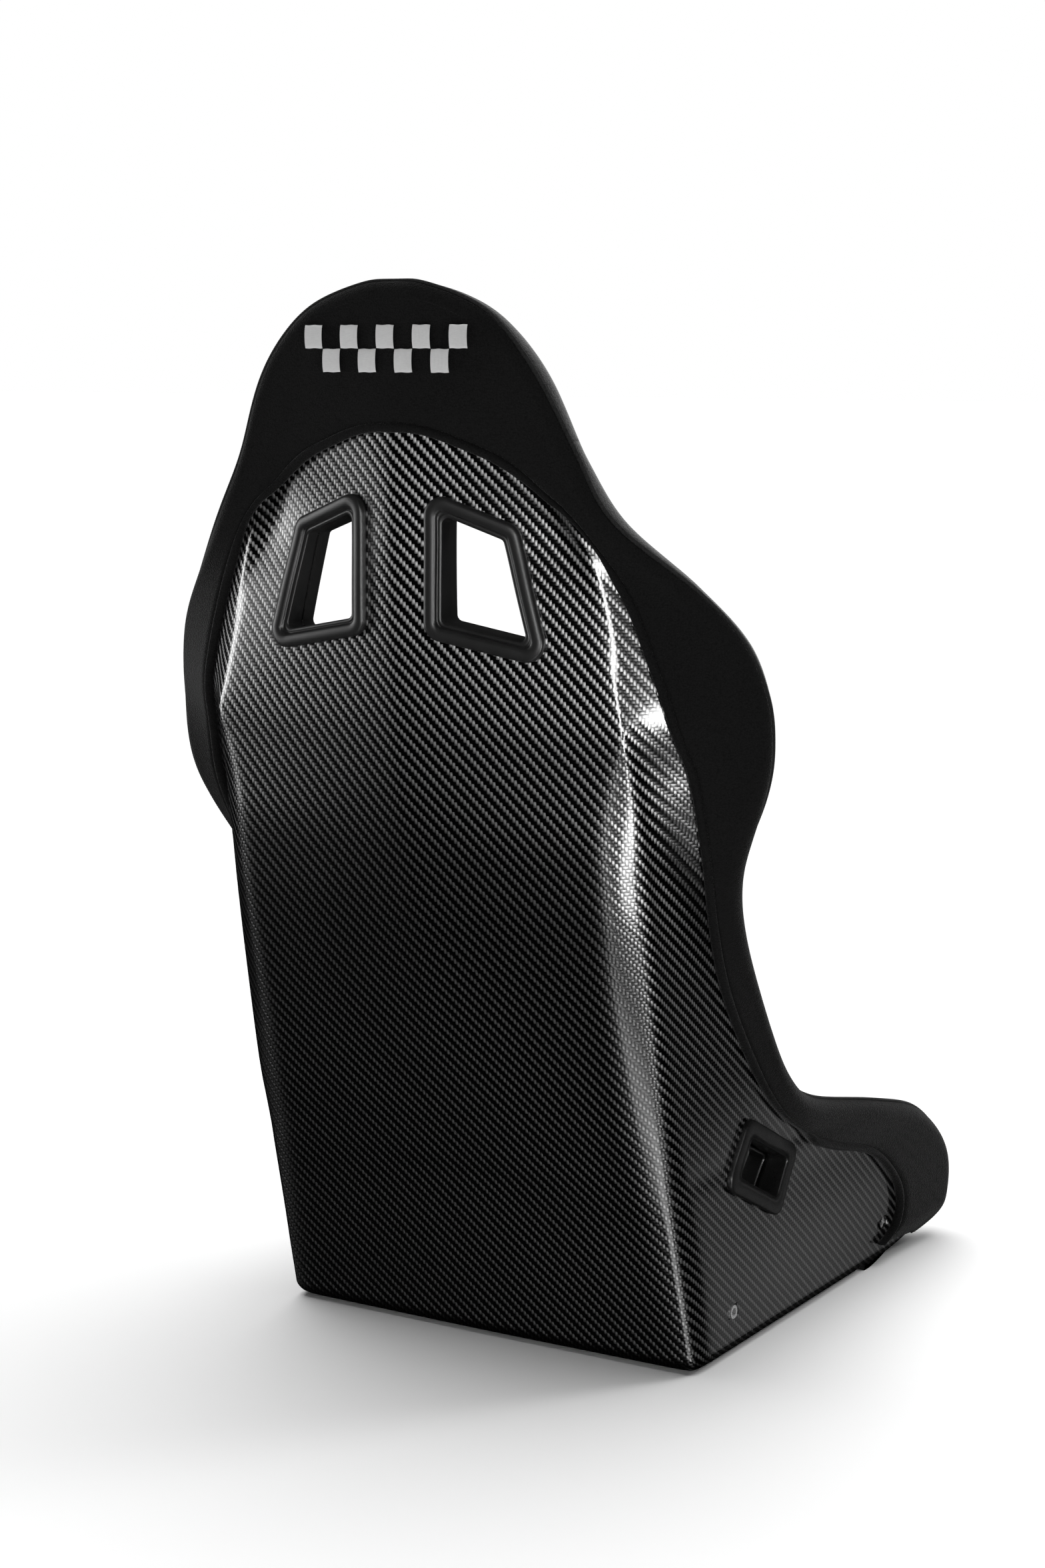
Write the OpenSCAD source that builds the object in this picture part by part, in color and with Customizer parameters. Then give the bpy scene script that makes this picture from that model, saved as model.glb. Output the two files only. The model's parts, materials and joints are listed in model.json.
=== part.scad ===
// Fixed-back racing seat: a one-piece laminated shell with a fabric cover, removable cushions,
// belt openings with moulded surrounds, and side-mount threaded inserts.
// Frame: X across the seat, -Y towards the front, +Z up. The origin is on the underside of the base,
// on the centre plane, midway between the front and rear mounting inserts.

/* [Shell] */
// Width of the base across its flat sides
base_width = 406; // [400:1:412]
// Thickness of the laminate
shell_t = 3.6; // [3:0.1:4]
// Radius where the floor turns up into the sides and the back
floor_radius = 14; // [10:1:16]

/* [Cover] */
// Radius of the padded roll round the rim
roll_r = 14; // [12:0.5:14]
// Height of the padded cover over the laminate at the hem
cover_h = 8; // [6:0.5:9]
// Diameter of the piping cord on the rim seam
piping_d = 3.6; // [3:0.1:3.8]
// Diameter of the rolled hem
hem_d = 8; // [6:0.5:8]

/* [Side mounts] */
// Distance between the front and rear inserts
insert_spacing = 292.4; // [280:0.2:300]
// Height of the inserts above the underside
insert_z = 38.7; // [36:0.1:42]
// Outside diameter of an insert
insert_d = 11.6; // [11:0.1:12]
// Diameter of the hole in an insert, the tapping size of its thread
insert_hole_d = 6.8; // [6.6:0.1:7]
// Thickness of the backing plates
plate_t = 5; // [4:0.5:6]

/* [Shoulder belt openings] */
// Width of the moulded ring round a shoulder belt opening
harness_ring = 14.5; // [13:0.5:15]
// How far the rings stand proud of the shell
harness_proud = 6.5; // [5:0.5:8]

/* [Lap belt openings] */
// Length of the lap belt surround
lap_length = 103; // [100:1:106]
// Height of the lap belt surround
lap_height = 63; // [60:1:66]
// Width of the moulded ring round a lap belt opening
lap_ring = 14; // [13:0.5:15]
// Slope of the opening, down towards the front
lap_slope = 27; // [25:1:29]
// How far the lap belt surrounds stand proud of the shell
lap_proud = 5; // [4:0.5:6]

/* [Cushions] */
// Half width of the seat cushion
seat_half = 156; // [150:1:157]
// Thickness of the seat cushion at its crown
seat_t = 52; // [46:1:56]

/* [Hidden] */

half_w = base_width / 2;
gap = 0.4;
pad_gap = 3.2;
cover_gap = 1;

// Each row of the shell is one level section, from the base to the top of the head:
// height, centre-back y, ridge x and y, side corner x and y, rim x and y, and how late the side flares.
shell_rows = [
  [0, 209, 185, 207, half_w, 204, half_w + 0.4, -126, 1],
  [22, 214.5, 183.5, 213, half_w, 209.4, half_w + 3, -240, 1],
  [47, 221, 182, 220, half_w, 215.5, half_w + 5.5, -259, 1],
  [85, 231, 179, 230.5, half_w - 0.5, 224.6, 211.5, -246, 1],
  [126, 242, 177, 242, half_w - 1, 234.5, 212.5, -188, 1],
  [151, 249, 175, 250, half_w - 1.5, 240.5, 213, -102, 1],
  [166, 254, 174, 254.5, half_w - 2, 244, 211.5, -36, 1],
  [186, 260, 173, 260.5, half_w - 2, 249, 212, 38, 1],
  [229, 273, 171, 273.5, half_w - 2.5, 260, 213, 97, 1],
  [318, 299, 171, 295, half_w - 3.5, 276, 214, 157, 1.1],
  [380, 315, 173, 307.5, half_w - 4, 285.5, 222, 200, 1.5],
  [420, 323, 174, 313, half_w - 4.5, 291, 233, 224, 1.8],
  [450, 328, 174, 316, half_w - 5, 296, 246, 237, 1.8],
  [480, 332, 177, 316.5, half_w - 6, 301, 259, 244, 1.7],
  [510, 335, 183, 316.5, half_w - 8, 308, 266, 243, 1.5],
  [535, 337, 188.5, 316.5, 192.5, 314, 267, 243, 1.2],
  [560, 338.5, 184, 316, 194, 309, 266.5, 246, 1],
  [600, 340, 172, 315, 184, 310, 255, 257, 1],
  [640, 340.5, 158, 314, 171, 311.5, 224, 277, 1],
  [690, 341, 136, 312.5, 150, 316, 177, 310, 1],
  [740, 341.5, 114, 322, 124, 323, 146.5, 319, 1],
  [800, 341, 90, 332, 98, 332, 120, 328, 1],
  [838, 340, 64, 335, 70, 334.5, 88.5, 332, 1],
  [856, 338, 39, 336, 43, 336, 57, 334.5, 1],
  [866, 336, 13, 336, 15, 336, 20, 336, 1]];

// The same rows for the padded inside surface.
inside_rows = [
  [0, 172, 148, 170, 166, 150, 192, -120, 1],
  [22, 178, 148, 176, 166, 156, 191, -224, 1],
  [47, 184, 148, 182, 167, 162, 192, -243, 1],
  [85, 192, 148, 188, 168, 168, 193, -231, 1],
  [126, 201, 148, 196, 168, 176, 194, -176, 1],
  [151, 207, 148, 201, 168, 181, 194, -91, 1],
  [166, 211, 148, 205, 168, 185, 194, -30, 1],
  [186, 216, 148, 209, 168, 189, 195, 40, 1],
  [229, 227, 147, 219, 167, 199, 196, 95, 1],
  [318, 250, 146, 240, 164, 218, 198, 150, 1.2],
  [380, 267, 147, 255, 164, 231, 206, 190, 1.4],
  [420, 278, 148, 265, 165, 241, 217, 212, 1.5],
  [450, 286, 150, 272, 167, 249, 230, 224, 1.5],
  [480, 293, 152, 278, 170, 257, 243, 231, 1.4],
  [510, 299, 154, 284, 172, 264, 250, 230, 1.2],
  [535, 303, 155, 288, 173, 269, 251, 230, 1.1],
  [560, 306, 154, 290, 172, 272, 251, 232, 1],
  [600, 310, 147, 293, 164, 279, 241, 243, 1],
  [640, 312, 135, 296, 150, 286, 212, 262, 1],
  [690, 312, 115, 299, 130, 295, 168, 296, 1],
  [740, 309, 97, 300, 110, 299, 141, 306, 1],
  [800, 303, 80, 298, 90, 299, 118, 315, 1],
  [838, 302, 60, 300, 67, 302, 88, 319, 1],
  [856, 305, 38, 305, 42, 307, 57, 321, 1],
  [866, 310, 13, 311, 15, 312, 21, 322, 1]];

// Places across a section: 0 centre, 1 ridge, 1.2 side corner, 2.2 rim.
ridge = 1;
corner = 1.2;
rim = 2.2;

// The cover from the top of the head down one side to the underside of the thigh:
// rim row, rim place, hem row, hem place.
cover_path = [
  [24, 0, 20.5, 0], [24, 2.2, 20.47, 0.3], [23, 2.2, 20.28, 0.62], [22.3, 2.2, 20.1, 0.84],
  [21.5, 2.2, 19.74, 1.03], [20.7, 2.2, 19.4, 1.3], [20, 2.2, 19.1, 1.55], [19.4, 2.2, 18.8, 1.6],
  [18.9, 2.2, 18.5, 1.59], [18.4, 2.2, 18.14, 1.56], [17.8, 2.2, 17.6, 1.51], [17, 2.2, 16.9, 1.48],
  [16, 2.2, 16, 1.52], [15, 2.2, 15, 1.66], [14, 2.2, 14, 1.8], [13, 2.2, 13, 1.9],
  [12, 2.2, 12, 1.99], [11, 2.2, 11, 2.05], [10, 2.2, 10, 2.03], [9.2, 2.2, 9, 1.98],
  [8.4, 2.2, 8.2, 2.06], [8, 2.2, 7.15, 2.07], [7.4, 2.2, 6.2, 1.99], [7, 2.2, 5.4, 1.925],
  [6, 2.2, 4.6, 1.914], [5.2, 2.2, 4.1, 1.956], [4.5, 2.2, 3.7, 1.984], [4, 2.2, 3.3, 1.996],
  [3.5, 2.2, 2.8, 2.011], [3, 2.2, 2.4, 2.019], [2.4, 2.2, 2.1, 2.022], [1.8, 2.2, 1.75, 2.019],
  [1.3, 2.2, 1.3, 2.009], [0.75, 2.2, 0.95, 1.985]];

// ---- Curves and surfaces ----

// Smooth value of column c at row position v of a table.
function smooth(table, v, c) =
  let(last = len(table) - 1, i = min(floor(v), last - 1), s = v - i,
      p0 = table[max(i - 1, 0)][c], p1 = table[i][c], p2 = table[i + 1][c], p3 = table[min(i + 2, last)][c])
  p1 + 0.5 * s * (p2 - p0 + s * (2 * p0 - 5 * p1 + 4 * p2 - p3 + s * (3 * (p1 - p2) + p3 - p0)));

// How far the wall is drawn in where it turns into the floor.
function inset(z) = z >= floor_radius ? 0
  : floor_radius - sqrt(floor_radius ^ 2 - (floor_radius - z) ^ 2);

// A point on a table's surface at row v and place s across the right half.
function skin(table, v, s) =
  let(r = [for (c = [0:8]) smooth(table, v, c)], n = inset(r[0]),
      q = max(s - corner, 0), b = min(max(s - ridge, 0) / (corner - ridge), 1))
  s <= ridge ? [r[2] * s, r[1] - n - (r[1] - r[3]) * s ^ 1.15, r[0]]
  : s <= corner ? [r[2] + (r[4] - r[2]) * b - n * b, r[3] + (r[5] - r[3]) * b - n, r[0]]
  : [r[4] - n + (r[6] - r[4]) * q ^ r[8], r[5] - n + (r[7] + n - r[5]) * q, r[0]];

function unit(a) = a / norm(a);

// Outward normal of a surface.
function normal(table, v, s, last = 24) =
  unit(cross(skin(table, min(v + 0.15, last), s) - skin(table, max(v - 0.15, 0), s),
             skin(table, v, min(s + 0.03, rim)) - skin(table, v, max(s - 0.03, 0))));

// A place between the laminate's inner face and the padded inside surface, w from 0 to 1.
function between(v, s, w) =
  let(a = skin(shell_rows, v, s) - normal(shell_rows, v, s) * (shell_t + pad_gap))
  a + (skin(inside_rows, v, s) - a) * w;

function flip(p) = [-p[0], p[1], p[2]];

// Strips of triangles across a loop of n points, between its matching sides.
function across_faces(n, base, forward) =
  [for (j = [0:floor((n - 3) / 2)])
    let(a = base + j, b = a + 1, c = base + n - 2 - j, d = c + 1)
    each b == c ? [forward ? [a, b, d] : [a, d, b]]
      : forward ? [[a, b, c], [a, c, d]] : [[a, c, b], [a, d, c]]];

// Triangles that join a closed ring of points on each row to the next, with both ends closed.
function ring_faces(rows, n) = concat(
  [for (i = [0:rows - 2], j = [0:n - 1])
    let(a = i * n + j, b = i * n + (j + 1) % n, k = (i + 1) * n)
    each [[a, b, k + j], [b, k + (j + 1) % n, k + j]]],
  across_faces(n, 0, false),
  across_faces(n, (rows - 1) * n, true));

// A closed solid through equal rings of points.
module loft(rings, flipped = false) {
  n = len(rings[0]);
  faces = ring_faces(len(rings), n);
  polyhedron([for (r = rings) each r], flipped ? [for (f = faces) [for (i = [len(f) - 1:-1:0]) f[i]]] : faces,
    convexity = 8);
}

// ---- Shell ----

// Places across one half of a section, closer together round the ridges.
half_places = [0, 0.3, 0.6, 0.85, 0.96, 1.0, 1.05, 1.1, 1.16, 1.2, 1.25, 1.35, 1.5, 1.7, 1.9, 2.06, 2.2];
shell_steps = concat([0, 0.08, 0.22, 0.5], [for (v = [1:0.5:18]) v], [19, 20, 21, 22, 23, 23.5, 24]);

// A point on a section with its ridges eased to a soft radius.
function eased(v, s) =
  let(k = s > 0.9 && s < 1.32 ? 0.05 : 0)
  k == 0 ? skin(shell_rows, v, s)
  : (skin(shell_rows, v, s - k) + 2 * skin(shell_rows, v, s) + skin(shell_rows, v, s + k)) / 4;

function full_row(v) =
  let(h = [for (s = half_places) eased(v, s)])
  concat([for (i = [len(h) - 1:-1:1]) flip(h[i])], h);

// Level normal of a row at point i, pointing out of the seat.
function level_normal(row, i) =
  let(n = len(row), d = row[min(i + 1, n - 1)] - row[max(i - 1, 0)])
  unit([-d[1], d[0], 0]);

function inner_row(row) =
  let(z = row[0][2], lift = max(shell_t * (1 - z / (floor_radius + 2)), 0))
  [for (i = [0:len(row) - 1]) row[i] - level_normal(row, i) * shell_t + [0, 0, lift]];

module shell_wall() {
  outer = [for (v = shell_steps) full_row(v)];
  inner = [for (r = outer) inner_row(r)];
  m = len(outer[0]);
  k = len(outer);
  base = k * m;
  polyhedron(
    [for (r = concat(outer, inner)) each r],
    concat(
      [for (i = [0:k - 2], j = [0:m - 2]) let(a = i * m + j)
        each [[a, a + 1, a + m], [a + 1, a + m + 1, a + m]]],
      [for (i = [0:k - 2], j = [0:m - 2]) let(a = base + i * m + j)
        each [[a, a + m, a + 1], [a + 1, a + m, a + m + 1]]],
      [for (i = [0:k - 2]) let(a = i * m, b = base + i * m) each [[a, a + m, b], [a + m, b + m, b]]],
      [for (i = [0:k - 2]) let(a = i * m + m - 1, b = base + i * m + m - 1)
        each [[a, b, a + m], [a + m, b, b + m]]],
      [for (j = [0:m - 2]) let(a = (k - 1) * m + j, b = base + (k - 1) * m + j)
        each [[a, a + 1, b], [a + 1, b + 1, b]]],
      across_faces(m, 0, false),
      across_faces(m, base, true),
      [[0, base, base + m - 1], [0, base + m - 1, m - 1]]),
    convexity = 10);
}

// Centre line of the front lip, from the floor up to the front edge of the pan.
lip_line = [[-118, 1.8], [-127, 1.8], [-145, 4], [-165, 8.2], [-190, 15], [-210, 24], [-225, 36], [-234, 52],
  [-238, 72]];

function thick_line(line, t) =
  let(n = len(line) - 1,
      side = [for (i = [0:n]) let(d = unit(line[min(i + 1, n)] - line[max(i - 1, 0)])) [-d[1], d[0]] * t / 2])
  concat([for (i = [0:n]) line[i] + side[i]], [for (i = [n:-1:0]) line[i] - side[i]]);

module front_lip(t) {
  rotate([90, 0, 90])
    translate([0, 0, -(half_w - 1.5)])
      linear_extrude(2 * (half_w - 1.5))
        polygon(thick_line(lip_line, t));
}

module insert_places() {
  for (side = [-1, 1], y = [-insert_spacing / 2, insert_spacing / 2])
    translate([side * half_w, y, insert_z])
      rotate([0, -90 * side, 0])
        children();
}

module shell() {
  color([0.09, 0.09, 0.1])
    difference() {
      union() {
        shell_wall();
        front_lip(shell_t);
      }
      both_sides() harness_slot(1.2);
      both_sides() lap_slot(1.2);
      crotch_slot(crotch_l + 5, crotch_w + 5, -1, 10);
      insert_places() translate([0, 0, -3]) cylinder(h = 12, d = insert_d + 0.2, $fn = 48);
    }
}

module both_sides() {
  children();
  mirror([1, 0, 0]) children();
}

// ---- Openings ----

// Corner round as an arc of points; c is the corner, a and b its neighbours.
function round_corner(a, c, b, r) =
  let(u = unit(a - c), w = unit(b - c), half = acos(u * w) / 2, reach = r / tan(half),
      mid = c + unit(u + w) * (r / sin(half)), p = c + u * reach, q = c + w * reach,
      a0 = atan2(p[1] - mid[1], p[0] - mid[0]), a1 = atan2(q[1] - mid[1], q[0] - mid[0]),
      turn = (a1 - a0 > 180) ? a1 - a0 - 360 : (a1 - a0 < -180) ? a1 - a0 + 360 : a1 - a0)
  [for (i = [0:5]) mid + r * [cos(a0 + turn * i / 5), sin(a0 + turn * i / 5)]];

function rounded(pts, r) =
  let(n = len(pts))
  [for (i = [0:n - 1]) each round_corner(pts[(i + n - 1) % n], pts[i], pts[(i + 1) % n], r)];

// A polygon's outline moved inwards by d, for corners listed anticlockwise.
function shrunk(pts, d) =
  let(n = len(pts))
  [for (i = [0:n - 1])
    let(c = pts[i], u = unit(pts[(i + n - 1) % n] - c), w = unit(pts[(i + 1) % n] - c),
        half = acos(u * w) / 2)
    c + unit(u + w) * (d / sin(half))];

// Shoulder belt opening: its plane leans away from the centre by harness_yaw.
harness_yaw = 10;
harness_x = 27.5;
harness_y = 338.6;
bezel_black = [0.13, 0.13, 0.13];
harness_outline = [[0, 606.5], [107.5, 586.4], [76, 694.3], [0, 722.3]];

module harness_place() {
  translate([harness_x, harness_y, 0])
    rotate([90, 0, -harness_yaw])
      children();
}

module harness_prism(d, r, from, to) {
  harness_place()
    translate([0, 0, from])
      linear_extrude(to - from)
        polygon(rounded(shrunk(harness_outline, d), r));
}

module harness_slot(margin) {
  harness_prism(harness_ring - 4 - margin, 7, -14, 60);
}

module harness_bezel_rear() {
  color(bezel_black) difference() {
    union() {
      harness_prism(0, 15, -harness_proud + 3, 0);
      harness_prism(3, 12, -harness_proud, -harness_proud + 3);
      harness_prism(harness_ring - 4, 7, 0, 16);
    }
    harness_prism(harness_ring, 5, -12, 20);
  }
}

module harness_bezel_front() {
  color(bezel_black) difference() {
    union() {
      harness_prism(harness_ring - 4, 7, 16.2, 31.1);
      harness_prism(harness_ring - 11, 10, 31, 34.5);
    }
    harness_prism(harness_ring, 5, 10, 44);
  }
}

// Lap belt opening in the side of the shell.
lap_y = 105.5;
lap_z = 153;
lap_outline = [[-lap_length / 2, -lap_height / 2], [lap_length / 2, -lap_height / 2],
  [lap_length / 2, lap_height / 2], [-lap_length / 2, lap_height / 2]];

lap_x = half_w + 4.5;

// A prism of the opening's outline, turned by yaw to lie flat on the side of the shell.
module lap_prism(d, r, from, to, yaw = 2.6) {
  translate([lap_x, lap_y, lap_z])
    rotate([0, 0, yaw])
      translate([from - lap_x, 0, 0])
        rotate([lap_slope, 0, 0])
          rotate([90, 0, 90])
            linear_extrude(to - from)
              polygon(rounded(shrunk(lap_outline, d), r));
}

module lap_slot(margin) {
  lap_prism(lap_ring - 3 - margin, 6, 150, 225);
}

module lap_bezel_outer() {
  color(bezel_black) difference() {
    union() {
      lap_prism(0, 12, lap_x, lap_x + lap_proud - 1.5);
      lap_prism(1.5, 10.5, lap_x + lap_proud - 1.5, lap_x + lap_proud);
      lap_prism(lap_ring - 3, 6, 188, lap_x);
    }
    lap_prism(lap_ring, 4, 180, 230);
  }
}

module lap_bezel_inner() {
  color(bezel_black) difference() {
    union() {
      lap_prism(lap_ring - 3, 6, 174.4, 187.8);
      lap_prism(lap_ring - 9, 8, 171, 174.5);
    }
    lap_prism(lap_ring, 4, 150, 192);
  }
}

// Crotch strap opening in the floor.
crotch_l = 100;
crotch_w = 30;
crotch_y = -102;

module crotch_slot(l, w, from, to) {
  translate([0, crotch_y, from])
    linear_extrude(to - from)
      polygon(rounded([[-l / 2, -w / 2], [l / 2, -w / 2], [l / 2, w / 2], [-l / 2, w / 2]], w / 2 - 4));
}

// ---- Cover and rim ----

// Right half of the rim and hem at step i of the cover, with in-between steps.
cover_turns = 49;
cover_steps = [for (i = [0:cover_turns]) i * (len(cover_path) - 1) / cover_turns];

function cover_at(i) = [for (c = [0:3]) smooth(cover_path, i, c)];
function rim_point(i) = let(p = cover_at(i)) skin(shell_rows, min(p[0], 24), min(max(p[1], 0), rim));

// Frame of the rim at step i: outward in the plane of the wall, and out of its rear face.
function rim_frame(i) =
  let(p = cover_at(i), last = len(cover_path) - 1, e = 0.25,
      a = rim_point(min(i + e, last)), b = i < e ? flip(rim_point(e)) : rim_point(i - e),
      along = unit(a - b), r = rim_point(i),
      inward = skin(shell_rows, p[0] + (p[2] - p[0]) * 0.4, p[1] + (p[3] - p[1]) * 0.4) - r,
      out = unit(-(inward - along * (inward * along))))
  [r, out, unit(cross(out, along))];

function roll_size(i) = roll_r * min(1, 0.45 + (len(cover_path) - 1 - i) * 0.5);

// Point on the roll at angle t: 90 at the rear, 0 outermost, -90 at the front.
function roll_point(i, t, r) =
  let(f = rim_frame(i)) f[0] - f[2] * shell_t / 2 + (f[1] * cos(t) + f[2] * sin(t)) * r;

function cover_point(i, k, h) =
  let(p = cover_at(i), v = p[2] + (p[0] - p[2]) * k, s = min(max(p[3] + (p[1] - p[3]) * k, 0), rim))
  skin(shell_rows, min(v, 24), s) + normal(shell_rows, min(v, 24), s) * h;

// Angle of the rim seam round the roll at steps of the cover: 90 faces the rear, 0 outwards.
seam_turns = [[0, 4], [4, 38], [12, 36], [15.5, -16], [22, -16], [26, 6], [33, 6]];
seam_gap = 9;

function seam_turn(i) = lookup(i, seam_turns);

function rear_ring(i) =
  let(r = roll_size(i), h = cover_h * r / roll_r)
  concat(
    [cover_point(i, 0.03, cover_gap), cover_point(i, 0.03, h)],
    [for (k = [0.3, 0.6, 0.85]) cover_point(i, k, h + (r - shell_t / 2 - h) * k ^ 2)],
    [for (k = [0:3]) roll_point(i, 90 + (seam_turn(i) + seam_gap - 90) * k / 3, r)],
    [roll_point(i, 20, r * 0.3)],
    [for (k = [0.92, 0.6, 0.3]) cover_point(i, k, cover_gap)]);

function both(rings) = concat([for (i = [len(rings) - 1:-1:1]) [for (p = rings[i]) flip(p)]], rings);

function tube_ring(c, u, w, r, n) =
  [for (j = [0:n - 1]) c + (u * cos(360 * j / n) + w * sin(360 * j / n)) * r];

module rear_cover() {
  color([0.12, 0.12, 0.13])
    loft(both([for (i = cover_steps) rear_ring(i)]), true);
}

module rim_piping() {
  rings = [for (i = cover_steps) let(f = rim_frame(i))
    tube_ring(roll_point(i, seam_turn(i), roll_size(i) - 0.6), f[1], f[2],
      piping_d / 2 * (0.5 + 0.5 * roll_size(i) / roll_r), 6)];
  color([0.1, 0.1, 0.1])
    loft(both(rings));
}

module hem_roll() {
  rings = [for (i = cover_steps)
    let(p = cover_at(i), s = max(p[3], 0), n = normal(shell_rows, p[2], s), c = cover_point(i, 0, 0),
        inward = unit(cover_point(i, 0.1, 0) - c), r = hem_d / 2)
    tube_ring(c - inward * r * 0.9 + n * (r + gap * 0.7), -inward, n, r, 6)];
  color([0.12, 0.12, 0.12])
    loft(both(rings), true);
}

// The front half of the roll, from the padded inside surface to the seam.
function front_roll(i, r) =
  [for (k = [0:3]) roll_point(i, -80 + (seam_turn(i) - seam_gap + 80) * k / 3, r)];

// ---- Pads ----

function crown(a, p = 3) = 1 - abs(2 * a - 1) ^ p;

// Full-width pad between rows v0 and v1, out to place s1 on both sides.
function wide_section(v, s1, w, steps, puff) = concat(
  [for (j = [-steps:steps]) let(b = abs(j) / steps, p = between(v, s1 * b, w * (1 - puff * b ^ 4)))
    j < 0 ? flip(p) : p],
  [for (j = [steps:-1:-steps]) let(b = abs(j) / steps, p = between(v, s1 * b, 0.02)) j < 0 ? flip(p) : p]);

module wide_pad(v0, v1, s1, depth, rows, steps, puff) {
  loft([for (i = [0:rows]) let(a = i / rows)
    wide_section(v0 + (v1 - v0) * a, s1, depth * (1 - puff + puff * crown(a, 6)), steps, puff)], true);
}

// Bolster along one side, with its half of the rim roll.
function path_of_row(v, i = 1) = (i >= len(cover_path) - 1 || cover_path[i + 1][0] <= v) ?
  i + (cover_path[i][0] - v) / (cover_path[i][0] - cover_path[i + 1][0]) : path_of_row(v, i + 1);

function bolster_section(v, s0) =
  let(i = path_of_row(v), r = roll_size(i))
  concat(
    [for (j = [0:5]) let(b = j / 5) between(v, s0 + (2.12 - s0) * b, 1 - 0.25 * (1 - b) ^ 6)],
    front_roll(i, r),
    [roll_point(i, -25, r * 0.35)],
    [for (b = [1, 0.67, 0.33, 0]) between(v, s0 + (2.15 - s0) * b, 0.02)]);

module half_bolster(v0, v1, step, start) {
  rows = floor((v1 - v0) / step);
  loft([for (i = [0:rows]) let(v = v0 + (v1 - v0) * i / rows) bolster_section(v, start(v))], true);
}

// Where a bolster begins across the section: just past the corner, or near the front below the seat top.
shoulder_start = function(v) 1.3;
thigh_start = function(v) v > 2.7 ? 1.26 : v < 2.4 ? 2.08 : 2.08 - (v - 2.4) / 0.3 * 0.82;

module shoulder_bolster() {
  color([0.14, 0.14, 0.15])
    half_bolster(9.4, 20.2, 0.6, shoulder_start);
}

module thigh_bolster() {
  color([0.14, 0.14, 0.15])
    difference() {
      half_bolster(1.0, 9.3, 0.34, thigh_start);
      lap_slot(0.4);
      front_lip(shell_t + 2 * gap);
    }
}

// The padded edge of the head, in front of the laminate, following the rim over the top. It reaches
// further in at the sides, and stops level above the shoulder bolsters.
head_steps = [for (i = [0:0.5:5.5]) i];
head_end_v = 20.32;

function head_reach(i) = 0.42 + 0.33 * min(max((i - 1) / 2, 0), 1);

function head_ring(i) =
  let(p = cover_at(i), r = roll_size(i), reach = head_reach(i),
      at = function(f, w)
        let(k = f * reach, v = p[0] + (p[2] - p[0]) * k, s = max(p[1] + (p[3] - p[1]) * k, 0))
        between(min(max(v, head_end_v), 24), min(s, rim), w))
  concat(
    [for (f = [1, 0.7, 0.42, 0.19]) at(f, f > 0.9 ? 0.75 : 1)],
    front_roll(i, r),
    [roll_point(i, -25, r * 0.35)],
    [for (f = [0.12, 0.48, 1]) at(f, 0.02)]);

module head_bolster() {
  color([0.14, 0.14, 0.15])
    loft(both([for (i = head_steps) head_ring(i)]));
}

module head_pad() {
  color([0.16, 0.16, 0.17])
    wide_pad(20, 22.35, 0.98, 1, 8, 5, 0.25);
}

module upper_back_pad() {
  color([0.15, 0.15, 0.16])
    difference() {
      wide_pad(14.6, 19.9, 1.2, 1, 16, 8, 0.12);
      both_sides() harness_slot(1.2);
    }
}

module back_pad() {
  color([0.15, 0.15, 0.16])
    wide_pad(2.5, 14.5, 1.2, 1, 24, 8, 0.15);
}

// Loose lumbar cushion, held to the back pad by hook strips.
lumbar_v = [5.4, 9.2];
lumbar_s = 0.78;
lumbar_t = 20;
strip_t = 1.6;

function on_back(v, s, d) = skin(inside_rows, v, s) - [0, d, 0];

function lumbar_section(a, steps) =
  let(v = lumbar_v[0] + (lumbar_v[1] - lumbar_v[0]) * a,
      at = function(b, d) let(p = on_back(v, abs(b) * lumbar_s, d)) b < 0 ? flip(p) : p)
  concat(
    [for (j = [-steps:steps]) let(b = j / steps)
      at(b, strip_t + gap + lumbar_t * (0.3 + 0.7 * crown(a, 4) * (1 - b ^ 4)))],
    [for (j = [steps:-1:-steps]) at(j / steps, strip_t + gap)]);

module lumbar_cushion() {
  color([0.17, 0.17, 0.18])
    loft([for (i = [0:10]) lumbar_section(i / 10, 6)], true);
}

module lumbar_hook_strips() {
  color([0.05, 0.05, 0.05])
    for (side = [-1, 1])
      loft([for (v = [5.8:0.25:8.8])
        let(at = function(s, d) let(p = on_back(v, s, d)) [p[0] * side, p[1], p[2]])
        [at(0.3, gap), at(0.46, gap), at(0.46, strip_t + 0.2), at(0.3, strip_t + 0.2)]], side < 0);
}

// Seat cushion: its plan widens towards the front, its rear corners are round, and a notch in its
// front edge leaves room for the crotch straps.
seat_back_y = 166;
seat_front_y = -119;
seat_bottom_z = 6.6;
seat_corner_r = 42;
seat_flare = 16;
notch_half = 52;
notch_depth = 34;

function seat_rear(x) =
  let(a = abs(x), square = seat_half - seat_corner_r)
  a <= square ? seat_back_y
  : a <= seat_half ? seat_back_y - seat_corner_r + sqrt(max(seat_corner_r ^ 2 - (a - square) ^ 2, 0))
  : seat_back_y - seat_corner_r - (a - seat_half) / seat_flare * 190;

function seat_front(x) = seat_front_y + (abs(x) < notch_half ? notch_depth : 0);

function seat_ring(x) =
  let(y0 = seat_rear(x), y1 = seat_front(x), side = 1 - abs(x / (seat_half + seat_flare)) ^ 5,
      bottom = seat_bottom_z + 0.6 * (x / seat_half) ^ 2)
  concat(
    [for (e = [0, 0.03, 0.12, 0.3, 0.5, 0.7, 0.88, 0.97, 1])
      [x, y0 + (y1 - y0) * e, seat_bottom_z + seat_t * (0.7 + 0.3 * crown(e, 4) * side) + 7 * e ^ 2]],
    [for (e = [1, 0.5, 0]) [x, y0 + (y1 - y0) * e, bottom]]);

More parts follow.
